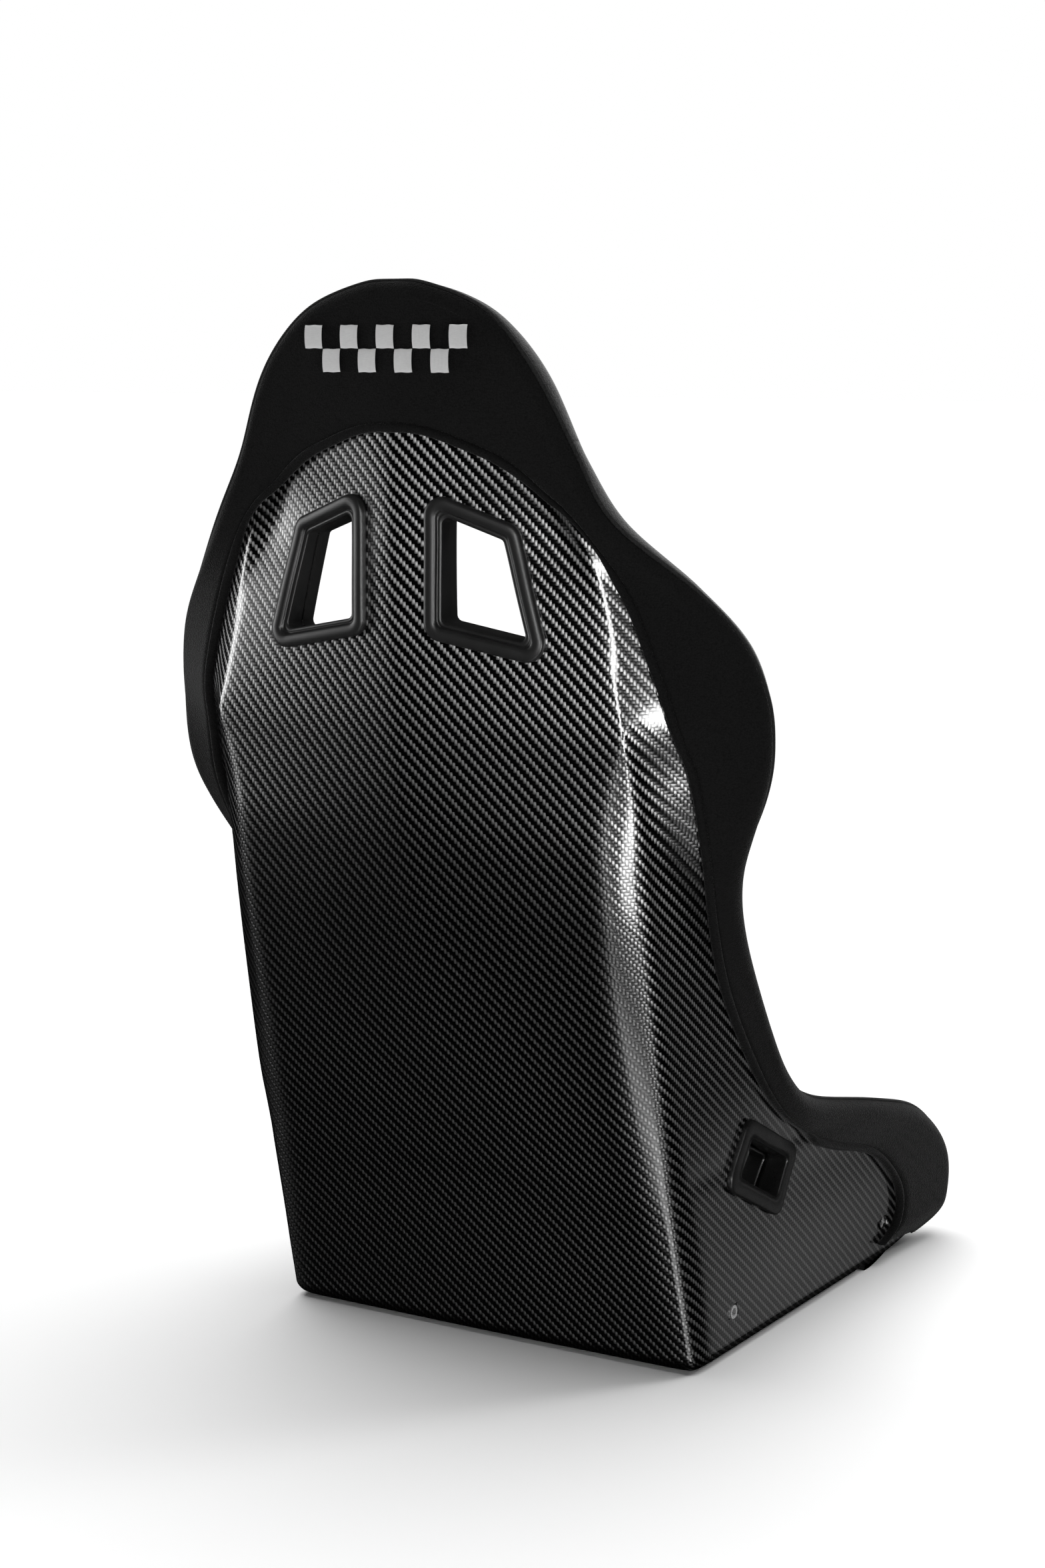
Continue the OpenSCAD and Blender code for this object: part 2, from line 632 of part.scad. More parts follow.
seat_half_steps = [0, 25, notch_half - 0.5, notch_half, 75, seat_half - seat_corner_r, seat_half - 28,
  seat_half - 14, seat_half - 5, seat_half - 1, seat_half + 2, seat_half + 9, seat_half + seat_flare];
seat_steps = concat([for (i = [len(seat_half_steps) - 1:-1:1]) -seat_half_steps[i]], seat_half_steps);

module seat_cushion() {
  color([0.16, 0.16, 0.17])
    loft([for (x = seat_steps) seat_ring(x)], true);
}

module seat_hook_strips() {
  color([0.05, 0.05, 0.05])
    for (x = [-100, 100])
      translate([x - 25, -40, seat_bottom_z - 1.3]) cube([50, 150, 1.2]);
}

module shell_loop_strips() {
  color([0.06, 0.06, 0.06])
    for (x = [-100, 100])
      translate([x - 25, -40, shell_t + 0.05]) cube([50, 150, 1.2]);
}

// Thigh cushion over the front lip of the pan.
leg_half = 181;
leg_outline = [[-120, 9.5], [-120, 64], [-132, 74], [-160, 84], [-195, 94], [-228, 99], [-250, 96],
  [-261, 86], [-264, 70], [-263, 48], [-257, 32], [-248, 27], [-243, 30], [-241.5, 52], [-242.5, 77],
  [-233, 78], [-229.5, 52], [-221, 38], [-206, 27], [-186, 18], [-160, 11.5], [-140, 9]];

function leg_section(b) =
  let(k = 1 - 0.13 * abs(b) ^ 6)
  [for (p = leg_outline) [b * leg_half, p[0], p[1] > 60 ? 60 + (p[1] - 60) * k : p[1]]];

module leg_cushion() {
  color([0.16, 0.16, 0.17])
    loft([for (b = [-1, -0.94, -0.8, -0.5, 0, 0.5, 0.8, 0.94, 1]) leg_section(b)], true);
}

// ---- Crotch strap surround in the floor ----

module slot_ring(extra, from, to) {
  crotch_slot(crotch_l + extra, crotch_w + extra, from, to);
}

module crotch_grommet() {
  color([0.13, 0.13, 0.13])
    difference() {
      union() {
        slot_ring(4.6, 0.4, shell_t + 0.2);
        slot_ring(16, shell_t + 0.1, shell_t + 2.2);
      }
      slot_ring(0, -1, 10);
    }
}

// ---- Side mounts ----

module mount_plate() {
  color([0.6, 0.6, 0.62])
    difference() {
      translate([half_w - shell_t - 0.1 - plate_t, -insert_spacing / 2 - 26, 24])
        cube([plate_t, insert_spacing + 52, 31]);
      insert_places() translate([0, 0, -3]) cylinder(h = 20, d = insert_d + 0.1, $fn = 48);
    }
}

insert_l = 13;

module mount_inserts() {
  color([0.75, 0.75, 0.77])
    insert_places()
      translate([0, 0, -1.4])
        difference() {
          cylinder(h = insert_l, d = insert_d, $fn = 48);
          translate([0, 0, -1]) cylinder(h = insert_l + 2, d = insert_hole_d, $fn = 48);
        }
}

// ---- Embroidered band on the back of the head ----

motif_w = 150;
motif_h = 36;
motif_columns = 9;
motif_z = 828;
motif_y = 351.5;
motif_t = 4;

module motif_tile(x, z, w, h) {
  translate([x, motif_y, z])
    rotate([90, 0, 0])
      linear_extrude(motif_t)
        square([w, h]);
}

module head_motif() {
  w = motif_w / motif_columns;
  h = motif_h / 2;
  color("white")
    for (i = [0:motif_columns - 1])
      motif_tile(-motif_w / 2 + i * w + 0.3, motif_z + (i % 2 == 0 ? 0.2 : -h), w - 0.6, h - 0.2);
}

shell();
rear_cover();
hem_roll();
rim_piping();
head_bolster();
head_pad();
shoulder_bolster();  // shoulder_bolster_left
mirror([1, 0, 0]) shoulder_bolster();  // shoulder_bolster_right
thigh_bolster();  // thigh_bolster_left
mirror([1, 0, 0]) thigh_bolster();  // thigh_bolster_right
upper_back_pad();
back_pad();
lumbar_cushion();
lumbar_hook_strips();
seat_cushion();
seat_hook_strips();
shell_loop_strips();
leg_cushion();
harness_bezel_rear();  // harness_bezel_rear_left
mirror([1, 0, 0]) harness_bezel_rear();  // harness_bezel_rear_right
harness_bezel_front();  // harness_bezel_front_left
mirror([1, 0, 0]) harness_bezel_front();  // harness_bezel_front_right
lap_bezel_outer();  // lap_bezel_outer_left
mirror([1, 0, 0]) lap_bezel_outer();  // lap_bezel_outer_right
lap_bezel_inner();  // lap_bezel_inner_left
mirror([1, 0, 0]) lap_bezel_inner();  // lap_bezel_inner_right
crotch_grommet();
mount_plate();  // mount_plate_left
mirror([1, 0, 0]) mount_plate();  // mount_plate_right
mount_inserts();
head_motif();
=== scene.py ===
"""Fixed-back racing seat: the looks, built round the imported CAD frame.

Metres in the scene; the driving tables are in millimetres, as in the part's own source.
X across the seat, -Y towards the front, +Z up; the origin is on the underside of the base.
"""

import json
import math

import bmesh
import bpy
import numpy as np
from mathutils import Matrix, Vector

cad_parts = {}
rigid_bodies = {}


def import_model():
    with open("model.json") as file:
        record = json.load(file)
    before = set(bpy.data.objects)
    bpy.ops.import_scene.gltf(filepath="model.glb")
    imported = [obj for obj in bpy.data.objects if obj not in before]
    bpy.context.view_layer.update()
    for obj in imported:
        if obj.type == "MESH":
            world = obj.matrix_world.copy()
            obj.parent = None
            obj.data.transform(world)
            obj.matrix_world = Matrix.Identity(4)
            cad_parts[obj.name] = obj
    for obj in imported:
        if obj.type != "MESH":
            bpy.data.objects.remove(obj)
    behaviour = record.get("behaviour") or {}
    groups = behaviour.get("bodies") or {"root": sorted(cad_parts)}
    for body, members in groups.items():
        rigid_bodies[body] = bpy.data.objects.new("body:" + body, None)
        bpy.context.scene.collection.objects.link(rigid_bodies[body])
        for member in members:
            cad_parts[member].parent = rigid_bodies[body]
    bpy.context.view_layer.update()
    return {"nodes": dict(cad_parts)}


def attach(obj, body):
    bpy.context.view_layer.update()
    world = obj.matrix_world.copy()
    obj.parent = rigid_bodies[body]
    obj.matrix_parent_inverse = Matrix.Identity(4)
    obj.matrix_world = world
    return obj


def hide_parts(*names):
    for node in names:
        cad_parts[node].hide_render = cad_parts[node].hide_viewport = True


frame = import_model()

MM = 0.001
SEAT = "seat_shell"
SEAT_PAD = "seat_pad"
LUMBAR_PAD = "lumbar_pad"

# ---------------------------------------------------------------- driving dimensions, in mm

HALF_W = 203.0
SHELL_T = 3.6
FLOOR_RADIUS = 14.0
ROLL_R = 14.0
COVER_H = 8.0
PIPING_D = 3.6
HEM_D = 8.0
PAD_GAP = 3.2
SEAM_GAP = 5.0
RIDGE, CORNER, RIM = 1.0, 1.2, 2.2

# Level sections of the shell, from the base to the top of the head: height, centre-back y,
# ridge x and y, side corner x and y, rim x and y, and how late the side flares.
SHELL_ROWS = np.array([
    [0, 209, 185, 207, 203, 204, 203.4, -126, 1],
    [22, 214.5, 183.5, 213, 203, 209.4, 206, -240, 1],
    [47, 221, 182, 220, 203, 215.5, 208.5, -259, 1],
    [85, 231, 179, 230.5, 202.5, 224.6, 211.5, -246, 1],
    [126, 242, 177, 242, 202, 234.5, 212.5, -188, 1],
    [151, 249, 175, 250, 201.5, 240.5, 213, -102, 1],
    [166, 254, 174, 254.5, 201, 244, 211.5, -36, 1],
    [186, 260, 173, 260.5, 201, 249, 212, 38, 1],
    [229, 273, 171, 273.5, 200.5, 260, 213, 97, 1],
    [318, 299, 171, 295, 199.5, 276, 214, 157, 1.1],
    [380, 315, 173, 307.5, 199, 285.5, 222, 200, 1.5],
    [420, 323, 174, 313, 198.5, 291, 233, 224, 1.8],
    [450, 328, 174, 316, 198, 296, 246, 237, 1.8],
    [480, 332, 177, 316.5, 197, 301, 259, 244, 1.7],
    [510, 335, 183, 316.5, 195, 308, 266, 243, 1.5],
    [535, 337, 188.5, 316.5, 192.5, 314, 267, 243, 1.2],
    [560, 338.5, 184, 316, 194, 309, 266.5, 246, 1],
    [600, 340, 172, 315, 184, 310, 255, 257, 1],
    [640, 340.5, 158, 314, 171, 311.5, 224, 277, 1],
    [690, 341, 136, 312.5, 150, 316, 177, 310, 1],
    [740, 341.5, 114, 322, 124, 323, 146.5, 319, 1],
    [800, 341, 90, 332, 98, 332, 120, 328, 1],
    [838, 340, 64, 335, 70, 334.5, 88.5, 332, 1],
    [856, 338, 39, 336, 43, 336, 57, 334.5, 1],
    [866, 336, 13, 336, 15, 336, 20, 336, 1]])

# The same sections of the padded surface that faces the occupant.
INSIDE_ROWS = np.array([
    [0, 172, 148, 170, 166, 150, 192, -120, 1],
    [22, 178, 148, 176, 166, 156, 191, -224, 1],
    [47, 184, 148, 182, 167, 162, 192, -243, 1],
    [85, 192, 148, 188, 168, 168, 193, -231, 1],
    [126, 201, 148, 196, 168, 176, 194, -176, 1],
    [151, 207, 148, 201, 168, 181, 194, -91, 1],
    [166, 211, 148, 205, 168, 185, 194, -30, 1],
    [186, 216, 148, 209, 168, 189, 195, 40, 1],
    [229, 227, 147, 219, 167, 199, 196, 95, 1],
    [318, 250, 146, 240, 164, 218, 198, 150, 1.2],
    [380, 267, 147, 255, 164, 231, 206, 190, 1.4],
    [420, 278, 148, 265, 165, 241, 217, 212, 1.5],
    [450, 286, 150, 272, 167, 249, 230, 224, 1.5],
    [480, 293, 152, 278, 170, 257, 243, 231, 1.4],
    [510, 299, 154, 284, 172, 264, 250, 230, 1.2],
    [535, 303, 155, 288, 173, 269, 251, 230, 1.1],
    [560, 306, 154, 290, 172, 272, 251, 232, 1],
    [600, 310, 147, 293, 164, 279, 241, 243, 1],
    [640, 312, 135, 296, 150, 286, 212, 262, 1],
    [690, 312, 115, 299, 130, 295, 168, 296, 1],
    [740, 309, 97, 300, 110, 299, 141, 306, 1],
    [800, 303, 80, 298, 90, 299, 118, 315, 1],
    [838, 302, 60, 300, 67, 302, 88, 319, 1],
    [856, 305, 38, 305, 42, 307, 57, 321, 1],
    [866, 310, 13, 311, 15, 312, 21, 322, 1]])

# The cover's path from the top of the head down one side to the underside of the thigh:
# rim row, rim place, hem row, hem place.
COVER_PATH = np.array([
    [24, 0, 20.5, 0], [24, 2.2, 20.47, 0.3], [23, 2.2, 20.28, 0.62], [22.3, 2.2, 20.1, 0.84],
    [21.5, 2.2, 19.74, 1.03], [20.7, 2.2, 19.4, 1.3], [20, 2.2, 19.1, 1.55], [19.4, 2.2, 18.8, 1.6],
    [18.9, 2.2, 18.5, 1.59], [18.4, 2.2, 18.14, 1.56], [17.8, 2.2, 17.6, 1.51], [17, 2.2, 16.9, 1.48],
    [16, 2.2, 16, 1.52], [15, 2.2, 15, 1.66], [14, 2.2, 14, 1.8], [13, 2.2, 13, 1.9],
    [12, 2.2, 12, 1.99], [11, 2.2, 11, 2.05], [10, 2.2, 10, 2.03], [9.2, 2.2, 9, 1.98],
    [8.4, 2.2, 8.2, 2.06], [8, 2.2, 7.15, 2.07], [7.4, 2.2, 6.2, 1.99], [7, 2.2, 5.4, 1.925],
    [6, 2.2, 4.6, 1.914], [5.2, 2.2, 4.1, 1.956], [4.5, 2.2, 3.7, 1.984], [4, 2.2, 3.3, 1.996],
    [3.5, 2.2, 2.8, 2.011], [3, 2.2, 2.4, 2.019], [2.4, 2.2, 2.1, 2.022], [1.8, 2.2, 1.75, 2.019],
    [1.3, 2.2, 1.3, 2.009], [0.75, 2.2, 0.95, 1.985]])
COVER_END = len(COVER_PATH) - 1

# Angle of the rim seam round the roll, at steps of the cover: 90 faces the rear, 0 outwards.
SEAM_STEPS = [0, 4, 12, 15.5, 22, 26, 33]
SEAM_TURNS = [4, 38, 36, -16, -16, 6, 6]

# Shoulder belt opening, in its own upright plane, and lap belt opening, centred.
HARNESS_X, HARNESS_Y, HARNESS_YAW, HARNESS_RING = 27.5, 338.6, math.radians(10), 14.5
HARNESS_OUTLINE = [(0, 606.5), (107.5, 586.4), (76, 694.3), (0, 722.3)]
LAP_Y, LAP_Z, LAP_LENGTH, LAP_HEIGHT = 105.5, 153.0, 103.0, 63.0
LAP_SLOPE, LAP_RING = math.radians(27), 14.0
CROTCH_Y, CROTCH_L, CROTCH_W = -102.0, 100.0, 30.0
INSERT_Y, INSERT_Z, INSERT_D = 146.2, 38.7, 11.6

# ---------------------------------------------------------------- curves and surfaces, in mm


def smooth(table, v):
    """A table's row at fractional row position v, on a smooth curve through the rows."""
    last = len(table) - 1
    v = np.clip(np.asarray(v, float), 0, last)
    i = np.minimum(np.floor(v).astype(int), last - 1)
    s = (v - i)[..., None]
    p0, p1, p2, p3 = (table[np.clip(i + k, 0, last)] for k in (-1, 0, 1, 2))
    return p1 + 0.5 * s * (p2 - p0 + s * (2 * p0 - 5 * p1 + 4 * p2 - p3 + s * (3 * (p1 - p2) + p3 - p0)))


def inset(z):
    """How far the wall is drawn in where it turns into the floor."""
    below = np.clip(FLOOR_RADIUS - z, 0, FLOOR_RADIUS)
    return FLOOR_RADIUS - np.sqrt(FLOOR_RADIUS ** 2 - below ** 2)


def skin(table, v, s):
    """A point on a table's surface at row v and place s across the section; s < 0 is the other side."""
    v, s = np.broadcast_arrays(np.asarray(v, float), np.asarray(s, float))
    a, side = np.abs(s), np.where(s < 0, -1.0, 1.0)
    r = smooth(table, v)
    n = inset(r[..., 0])
    q = np.maximum(a - CORNER, 0)
    b = np.clip((a - RIDGE) / (CORNER - RIDGE), 0, 1)
    x = np.where(a <= RIDGE, r[..., 2] * a, r[..., 2] + (r[..., 4] - r[..., 2] - n) * b)
    x = np.where(a <= CORNER, x, r[..., 4] - n + (r[..., 6] - r[..., 4]) * q ** r[..., 8])
    rear = r[..., 1] - n - (r[..., 1] - r[..., 3]) * np.minimum(a, RIDGE) ** 1.15
    y = np.where(a <= RIDGE, rear, r[..., 3] + (r[..., 5] - r[..., 3]) * b - n)
    y = np.where(a <= CORNER, y, r[..., 5] - n + (r[..., 7] + n - r[..., 5]) * q)
    return np.stack([x * side, y, r[..., 0]], -1)


def unit(a):
    return a / np.maximum(np.linalg.norm(a, axis=-1, keepdims=True), 1e-9)


def flipped(points):
    """The mirror image on the other side of the seat."""
    return points * np.array([-1.0, 1.0, 1.0])


def normal(table, v, s):
    """Outward normal of a surface."""
    v, s = np.broadcast_arrays(np.asarray(v, float), np.asarray(s, float))
    a, last = np.abs(s), len(table) - 1
    up = skin(table, np.minimum(v + 0.15, last), a) - skin(table, np.maximum(v - 0.15, 0), a)
    across = skin(table, v, np.minimum(a + 0.03, RIM)) - skin(table, v, np.maximum(a - 0.03, 0))
    n = unit(np.cross(up, across))
    return np.where((s < 0)[..., None], flipped(n), n)


def between(v, s, w):
    """A place between the laminate's inner face and the padded inside surface, w from 0 to 1."""
    v, s, w = np.broadcast_arrays(*(np.asarray(t, float) for t in (v, s, w)))
    a = skin(SHELL_ROWS, v, s) - normal(SHELL_ROWS, v, s) * (SHELL_T + PAD_GAP)
    return a + (skin(INSIDE_ROWS, v, s) - a) * w[..., None]


def ramp(x, low, high):
    """0 below low and 1 above high, eased in between."""
    t = np.clip((np.asarray(x, float) - low) / (high - low), 0, 1)
    return t * t * (3 - 2 * t)


def shell_point(v, s):
    """The laminate's outer face, with its ridges eased to a soft radius."""
    a = np.abs(s)
    k = 0.075 * ramp(a, 0.82, 0.95) * (1 - ramp(a, 1.26, 1.42))
    steps = ((-1, 1), (-0.5, 2), (0, 2), (0.5, 2), (1, 1))
    total = sum(w * skin(SHELL_ROWS, v, s + k * o) for o, w in steps)
    return total / 8


def cover_at(i):
    return smooth(COVER_PATH, i)


def rim_point(i):
    p = cover_at(i)
    return skin(SHELL_ROWS, np.minimum(p[..., 0], 24), np.clip(p[..., 1], 0, RIM))


def rim_frame(i):
    """At cover step i: the rim, outward in the plane of the wall, and out of the wall's rear face."""
    p, e = cover_at(i), 0.25
    over_the_top = flipped(rim_point(np.full_like(i, e)))
    behind = np.where((i < e)[..., None], over_the_top, rim_point(np.maximum(i - e, 0)))
    along = unit(rim_point(np.minimum(i + e, COVER_END)) - behind)
    r = rim_point(i)
    inward = skin(SHELL_ROWS, p[..., 0] + (p[..., 2] - p[..., 0]) * 0.4,
                  np.clip(p[..., 1] + (p[..., 3] - p[..., 1]) * 0.4, 0, RIM)) - r
    out = unit(along * np.sum(inward * along, -1, keepdims=True) - inward)
    return r, out, unit(np.cross(out, along))


def roll_size(i):
    """Radius of the rim roll, which tapers off at the front end."""
    return ROLL_R * np.minimum(1, 0.45 + (COVER_END - i) * 0.5)


def roll_point(i, turn, r):
    """A point on the rim roll: turn is 90 at the rear, 0 outermost and -90 at the front."""
    rim, out, rear = rim_frame(i)
    t = np.radians(turn)
    spoke = out * np.cos(t)[..., None] + rear * np.sin(t)[..., None]
    return rim - rear * SHELL_T / 2 + spoke * r[..., None]


def cover_point(i, k, h):
    """A point h over the laminate, k of the way from the hem to the rim."""
    p = cover_at(i)
    v = np.minimum(p[..., 2] + (p[..., 0] - p[..., 2]) * k, 24)
    s = np.clip(p[..., 3] + (p[..., 1] - p[..., 3]) * k, 0, RIM)
    return skin(SHELL_ROWS, v, s) + normal(SHELL_ROWS, v, s) * np.asarray(h)[..., None]


def seam_turn(i):
    """Angle of the rim seam round the roll."""
    return np.interp(i, SEAM_STEPS, SEAM_TURNS)


def rounded_outline(corners, d, r, arc=10, straight=8):
    """An anticlockwise outline drawn in by d, with corners of radius r, as a loop of evenly built points."""
    c = np.array(corners, float)
    before, after = unit(np.roll(c, 1, 0) - c), unit(np.roll(c, -1, 0) - c)
    half = np.arccos(np.sum(before * after, -1)) / 2
    middle = unit(before + after)
    c = c + middle * (d / np.sin(half))[:, None]
    loops = []
    for k in range(len(c)):
        reach = r / math.tan(half[k])
        centre = c[k] + middle[k] * r / math.sin(half[k])
        start, end = c[k] + before[k] * reach - centre, c[k] + after[k] * reach - centre
        a0 = math.atan2(start[1], start[0])
        turn = (math.atan2(end[1], end[0]) - a0 + math.pi) % (2 * math.pi) - math.pi
        angles = a0 + turn * np.linspace(0, 1, arc)
        loops.append(centre + r * np.stack([np.cos(angles), np.sin(angles)], -1))
    points = []
    for k, loop in enumerate(loops):
        following = loops[(k + 1) % len(loops)][0]
        share = np.linspace(0, 1, straight + 1)[1:-1, None]
        points += [loop, loop[-1] + (following - loop[-1]) * share]
    return np.concatenate(points)


# ---------------------------------------------------------------- mesh making


def new_piece(name, verts, faces, material, body=SEAT, slot=None, replaces=(), uv=None):
    """A piece from points in mm, riding on a body."""
    mesh = bpy.data.meshes.new(name)
    mesh.from_pydata((np.asarray(verts) * MM).tolist(), [], [list(f) for f in faces])
    if uv is not None:
        layer = mesh.uv_layers.new(name="Cloth")
        index = np.zeros(len(mesh.loops), int)
        mesh.loops.foreach_get("vertex_index", index)
        layer.data.foreach_set("uv", np.asarray(uv)[index].ravel().astype(np.float32))
    mesh.validate()
    piece = bpy.data.objects.new(name, mesh)
    bpy.context.scene.collection.objects.link(piece)
    return dress(piece, material, body, replaces)


def dress(piece, material, body, replaces=()):
    piece.data.materials.clear()
    piece.data.materials.append(material)
    piece.data.shade_smooth()
    if piece.parent is None:
        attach(piece, body)
    if replaces:
        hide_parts(*replaces)
    return piece


def ring_faces(rows, n, closed_rows=False):
    """Quads between equal rings of points, with one face over each open end."""
    faces = []
    for i in range(rows if closed_rows else rows - 1):
        k = (i + 1) % rows
        faces += [(i * n + j, i * n + (j + 1) % n, k * n + (j + 1) % n, k * n + j) for j in range(n)]
    if not closed_rows:
        faces.append(tuple(range(n - 1, -1, -1)))
        faces.append(tuple((rows - 1) * n + j for j in range(n)))
    return faces


def loft(name, rings, material, closed_rows=False, **facts):
    """A closed solid through rings of points, shape (rows, points, 3)."""
    rows, n = rings.shape[:2]
    piece = new_piece(name, rings.reshape(-1, 3), ring_faces(rows, n, closed_rows), material, **facts)
    outward(piece)
    return piece


def outward(piece):
    """Turns the faces of a closed piece outwards."""
    bm = bmesh.new()
    bm.from_mesh(piece.data)
    bmesh.ops.recalc_face_normals(bm, faces=bm.faces)
    if bm.calc_volume(signed=True) < 0:
        bmesh.ops.reverse_faces(bm, faces=bm.faces)
    bm.to_mesh(piece.data)
    bm.free()


def apply_modifiers(piece):
    """Turns what the modifiers make of the piece into its mesh."""
    graph = bpy.context.evaluated_depsgraph_get()
    mesh = bpy.data.meshes.new_from_object(piece.evaluated_get(graph))
    piece.modifiers.clear()
    old, piece.data = piece.data, mesh
    bpy.data.meshes.remove(old)
    return piece


def cut(piece, cutters, operation="DIFFERENCE"):
    """Cuts closed meshes out of a piece, or joins them to it."""
    for tool in cutters:
        boolean = piece.modifiers.new("cut", "BOOLEAN")
        boolean.object, boolean.operation, boolean.solver = tool, operation, "EXACT"
    bpy.context.view_layer.update()
    apply_modifiers(piece)
    for tool in cutters:
        bpy.data.objects.remove(tool)
    return piece


def cutter(rings):
    """A bare closed solid used only to cut another piece."""
    rows, n = rings.shape[:2]
    mesh = bpy.data.meshes.new("cutter")
    mesh.from_pydata((rings.reshape(-1, 3) * MM).tolist(), [], ring_faces(rows, n))
    tool = bpy.data.objects.new("cutter", mesh)
    bpy.context.scene.collection.objects.link(tool)
    outward(tool)
    return tool


def subdivide(piece, levels=1):
    modifier = piece.modifiers.new("smooth", "SUBSURF")
    modifier.levels = modifier.render_levels = levels
    bpy.context.view_layer.update()
    return apply_modifiers(piece)


def tube(path, u, w, r, sides=12):
    """Rings of points round a path, with u and w across it."""
    t = np.linspace(0, 2 * math.pi, sides, endpoint=False)
    ring = u[:, None] * np.cos(t)[None, :, None] + w[:, None] * np.sin(t)[None, :, None]
    return path[:, None] + ring * np.reshape(r, (-1, 1, 1))


def mirrored(rings):
    """Rings from one end, over the centre plane, to the other; the first ring is on the plane."""
    return np.concatenate([flipped(rings[:0:-1]), rings])


# ---------------------------------------------------------------- materials


class Nodes:
    """Short hand for a material's node tree."""

    def __init__(self, name):
        self.material = bpy.data.materials.new(name)
        self.material.use_nodes = True
        self.tree = self.material.node_tree
        self.shader = self.tree.nodes["Principled BSDF"]

    def add(self, kind, inputs=None, **settings):
        node = self.tree.nodes.new(kind)
        for key, value in settings.items():
            setattr(node, key, value)
        for key, value in (inputs or {}).items():
            self.put(node.inputs[key], value)
        return node

    def put(self, socket, value):
        if isinstance(value, bpy.types.NodeSocket):
            self.tree.links.new(value, socket)
        else:
            socket.default_value = value

    def math(self, operation, *values):
        node = self.add("ShaderNodeMath", dict(enumerate(values)), operation=operation)
        return node.outputs[0]

    def mix(self, share, a, b):
        node = self.add("ShaderNodeMix", data_type="RGBA")
        self.put(node.inputs["Factor"], share)
        self.put(node.inputs["A"], a)
        self.put(node.inputs["B"], b)
        return node.outputs["Result"]

    def noise(self, scale, detail=2.0, vector=None):
        node = self.add("ShaderNodeTexNoise", {"Scale": scale, "Detail": detail})
        if vector is not None:
            self.put(node.inputs["Vector"], vector)
        return node.outputs["Fac"]

    def place(self):
        return self.add("ShaderNodeTexCoord").outputs["Object"]

    def bump(self, height, distance, strength=1.0):
        node = self.add("ShaderNodeBump", {"Height": height, "Distance": distance, "Strength": strength})
        self.put(self.shader.inputs["Normal"], node.outputs["Normal"])

    def set(self, **values):
        for key, value in values.items():
            self.put(self.shader.inputs[key.replace("_", " ")], value)


def grey(value):
    return (value, value, value, 1.0)


def carbon_material():
    """Clear-coated 2x2 twill: each tow floats over two others, one step further on in each row."""
    m = Nodes("carbon_twill")
    tow = 2.65 * MM
    cloth = m.add("ShaderNodeUVMap", uv_map="Cloth").outputs["UV"]
    split = m.add("ShaderNodeSeparateXYZ", {"Vector": cloth})
    x = m.math("DIVIDE", split.outputs["X"], tow)
    y = m.math("DIVIDE", split.outputs["Y"], tow)
    i, j = m.math("FLOOR", x), m.math("FLOOR", y)
    fx, fy = m.math("SUBTRACT", x, i), m.math("SUBTRACT", y, j)
    step = m.math("FLOORED_MODULO", m.math("SUBTRACT", i, j), 4.0)
    upright = m.math("LESS_THAN", step, 1.5)
    # Along each float from 0 to 1, and across it from -1 to 1.
    along_up = m.math("MULTIPLY", m.math("ADD", m.math("SUBTRACT", 1.0, step), fy), 0.5)
    along_flat = m.math("MULTIPLY", m.math("ADD", m.math("SUBTRACT", step, 2.0), fx), 0.5)

    def pick(a, b):
        return m.math("ADD", m.math("MULTIPLY", upright, a),
                      m.math("MULTIPLY", m.math("SUBTRACT", 1.0, upright), b))

    along = pick(along_up, along_flat)
    across = m.math("MULTIPLY_ADD", pick(fx, fy), 2.0, -1.0)
    hump = m.math("SINE", m.math("MULTIPLY", along, math.pi))
    round_over = m.math("SUBTRACT", 1.0, m.math("POWER", m.math("ABSOLUTE", across), 3.0))
    height = m.math("MULTIPLY", m.math("POWER", m.math("MAXIMUM", hump, 0.0), 0.6), round_over)
    # Fibres along each tow, and slow changes from one tow to the next.
    strand = m.math("MULTIPLY", pick(fx, fy), 9.0)
    fibre = m.noise(1.0, 2.0, m.add("ShaderNodeCombineXYZ", {
        "X": m.math("ADD", strand, m.math("MULTIPLY", pick(i, j), 13.0)),
        "Y": m.math("MULTIPLY", along, 1.2), "Z": pick(j, i)}).outputs[0])
    # Painted highlight and shade in the base colour: lighter on the upright tows, which catch the light
    # across the seat, and on each float's crown; darker on the tows that lie across it and towards the tow
    # edges.
    painted_tow_light = m.math("MULTIPLY_ADD", upright, 0.66, 0.34)
    shade = m.math("MULTIPLY", m.math("POWER", m.math("MULTIPLY", height, painted_tow_light), 1.5),
                   m.math("MULTIPLY_ADD", fibre, 0.5, 0.78))
    m.bump(m.math("ADD", height, m.math("MULTIPLY", fibre, 0.06)), 0.24 * MM, 0.9)
    # The base colour carries the painted highlight and shade above, with the fibres' own random tone.
    m.set(Base_Color=m.mix(shade, grey(0.03), grey(0.36)), Metallic=1.0)
    m.set(Roughness=m.math("MULTIPLY_ADD", fibre, 0.12, 0.30))
    m.set(Anisotropic=0.85, Coat_Weight=1.0, Coat_Roughness=0.045, Coat_IOR=1.5)
    tangent = m.add("ShaderNodeTangent", direction_type="UV_MAP", uv_map="Cloth").outputs[0]
    m.set(Tangent=tangent)
    coat = m.add("ShaderNodeBump", {"Height": height, "Distance": 0.022 * MM, "Strength": 1.0})
    m.set(Coat_Normal=coat.outputs["Normal"])
    m.set(Anisotropic_Rotation=m.math("MULTIPLY_ADD", upright, -0.25, 0.25))
    return m.material


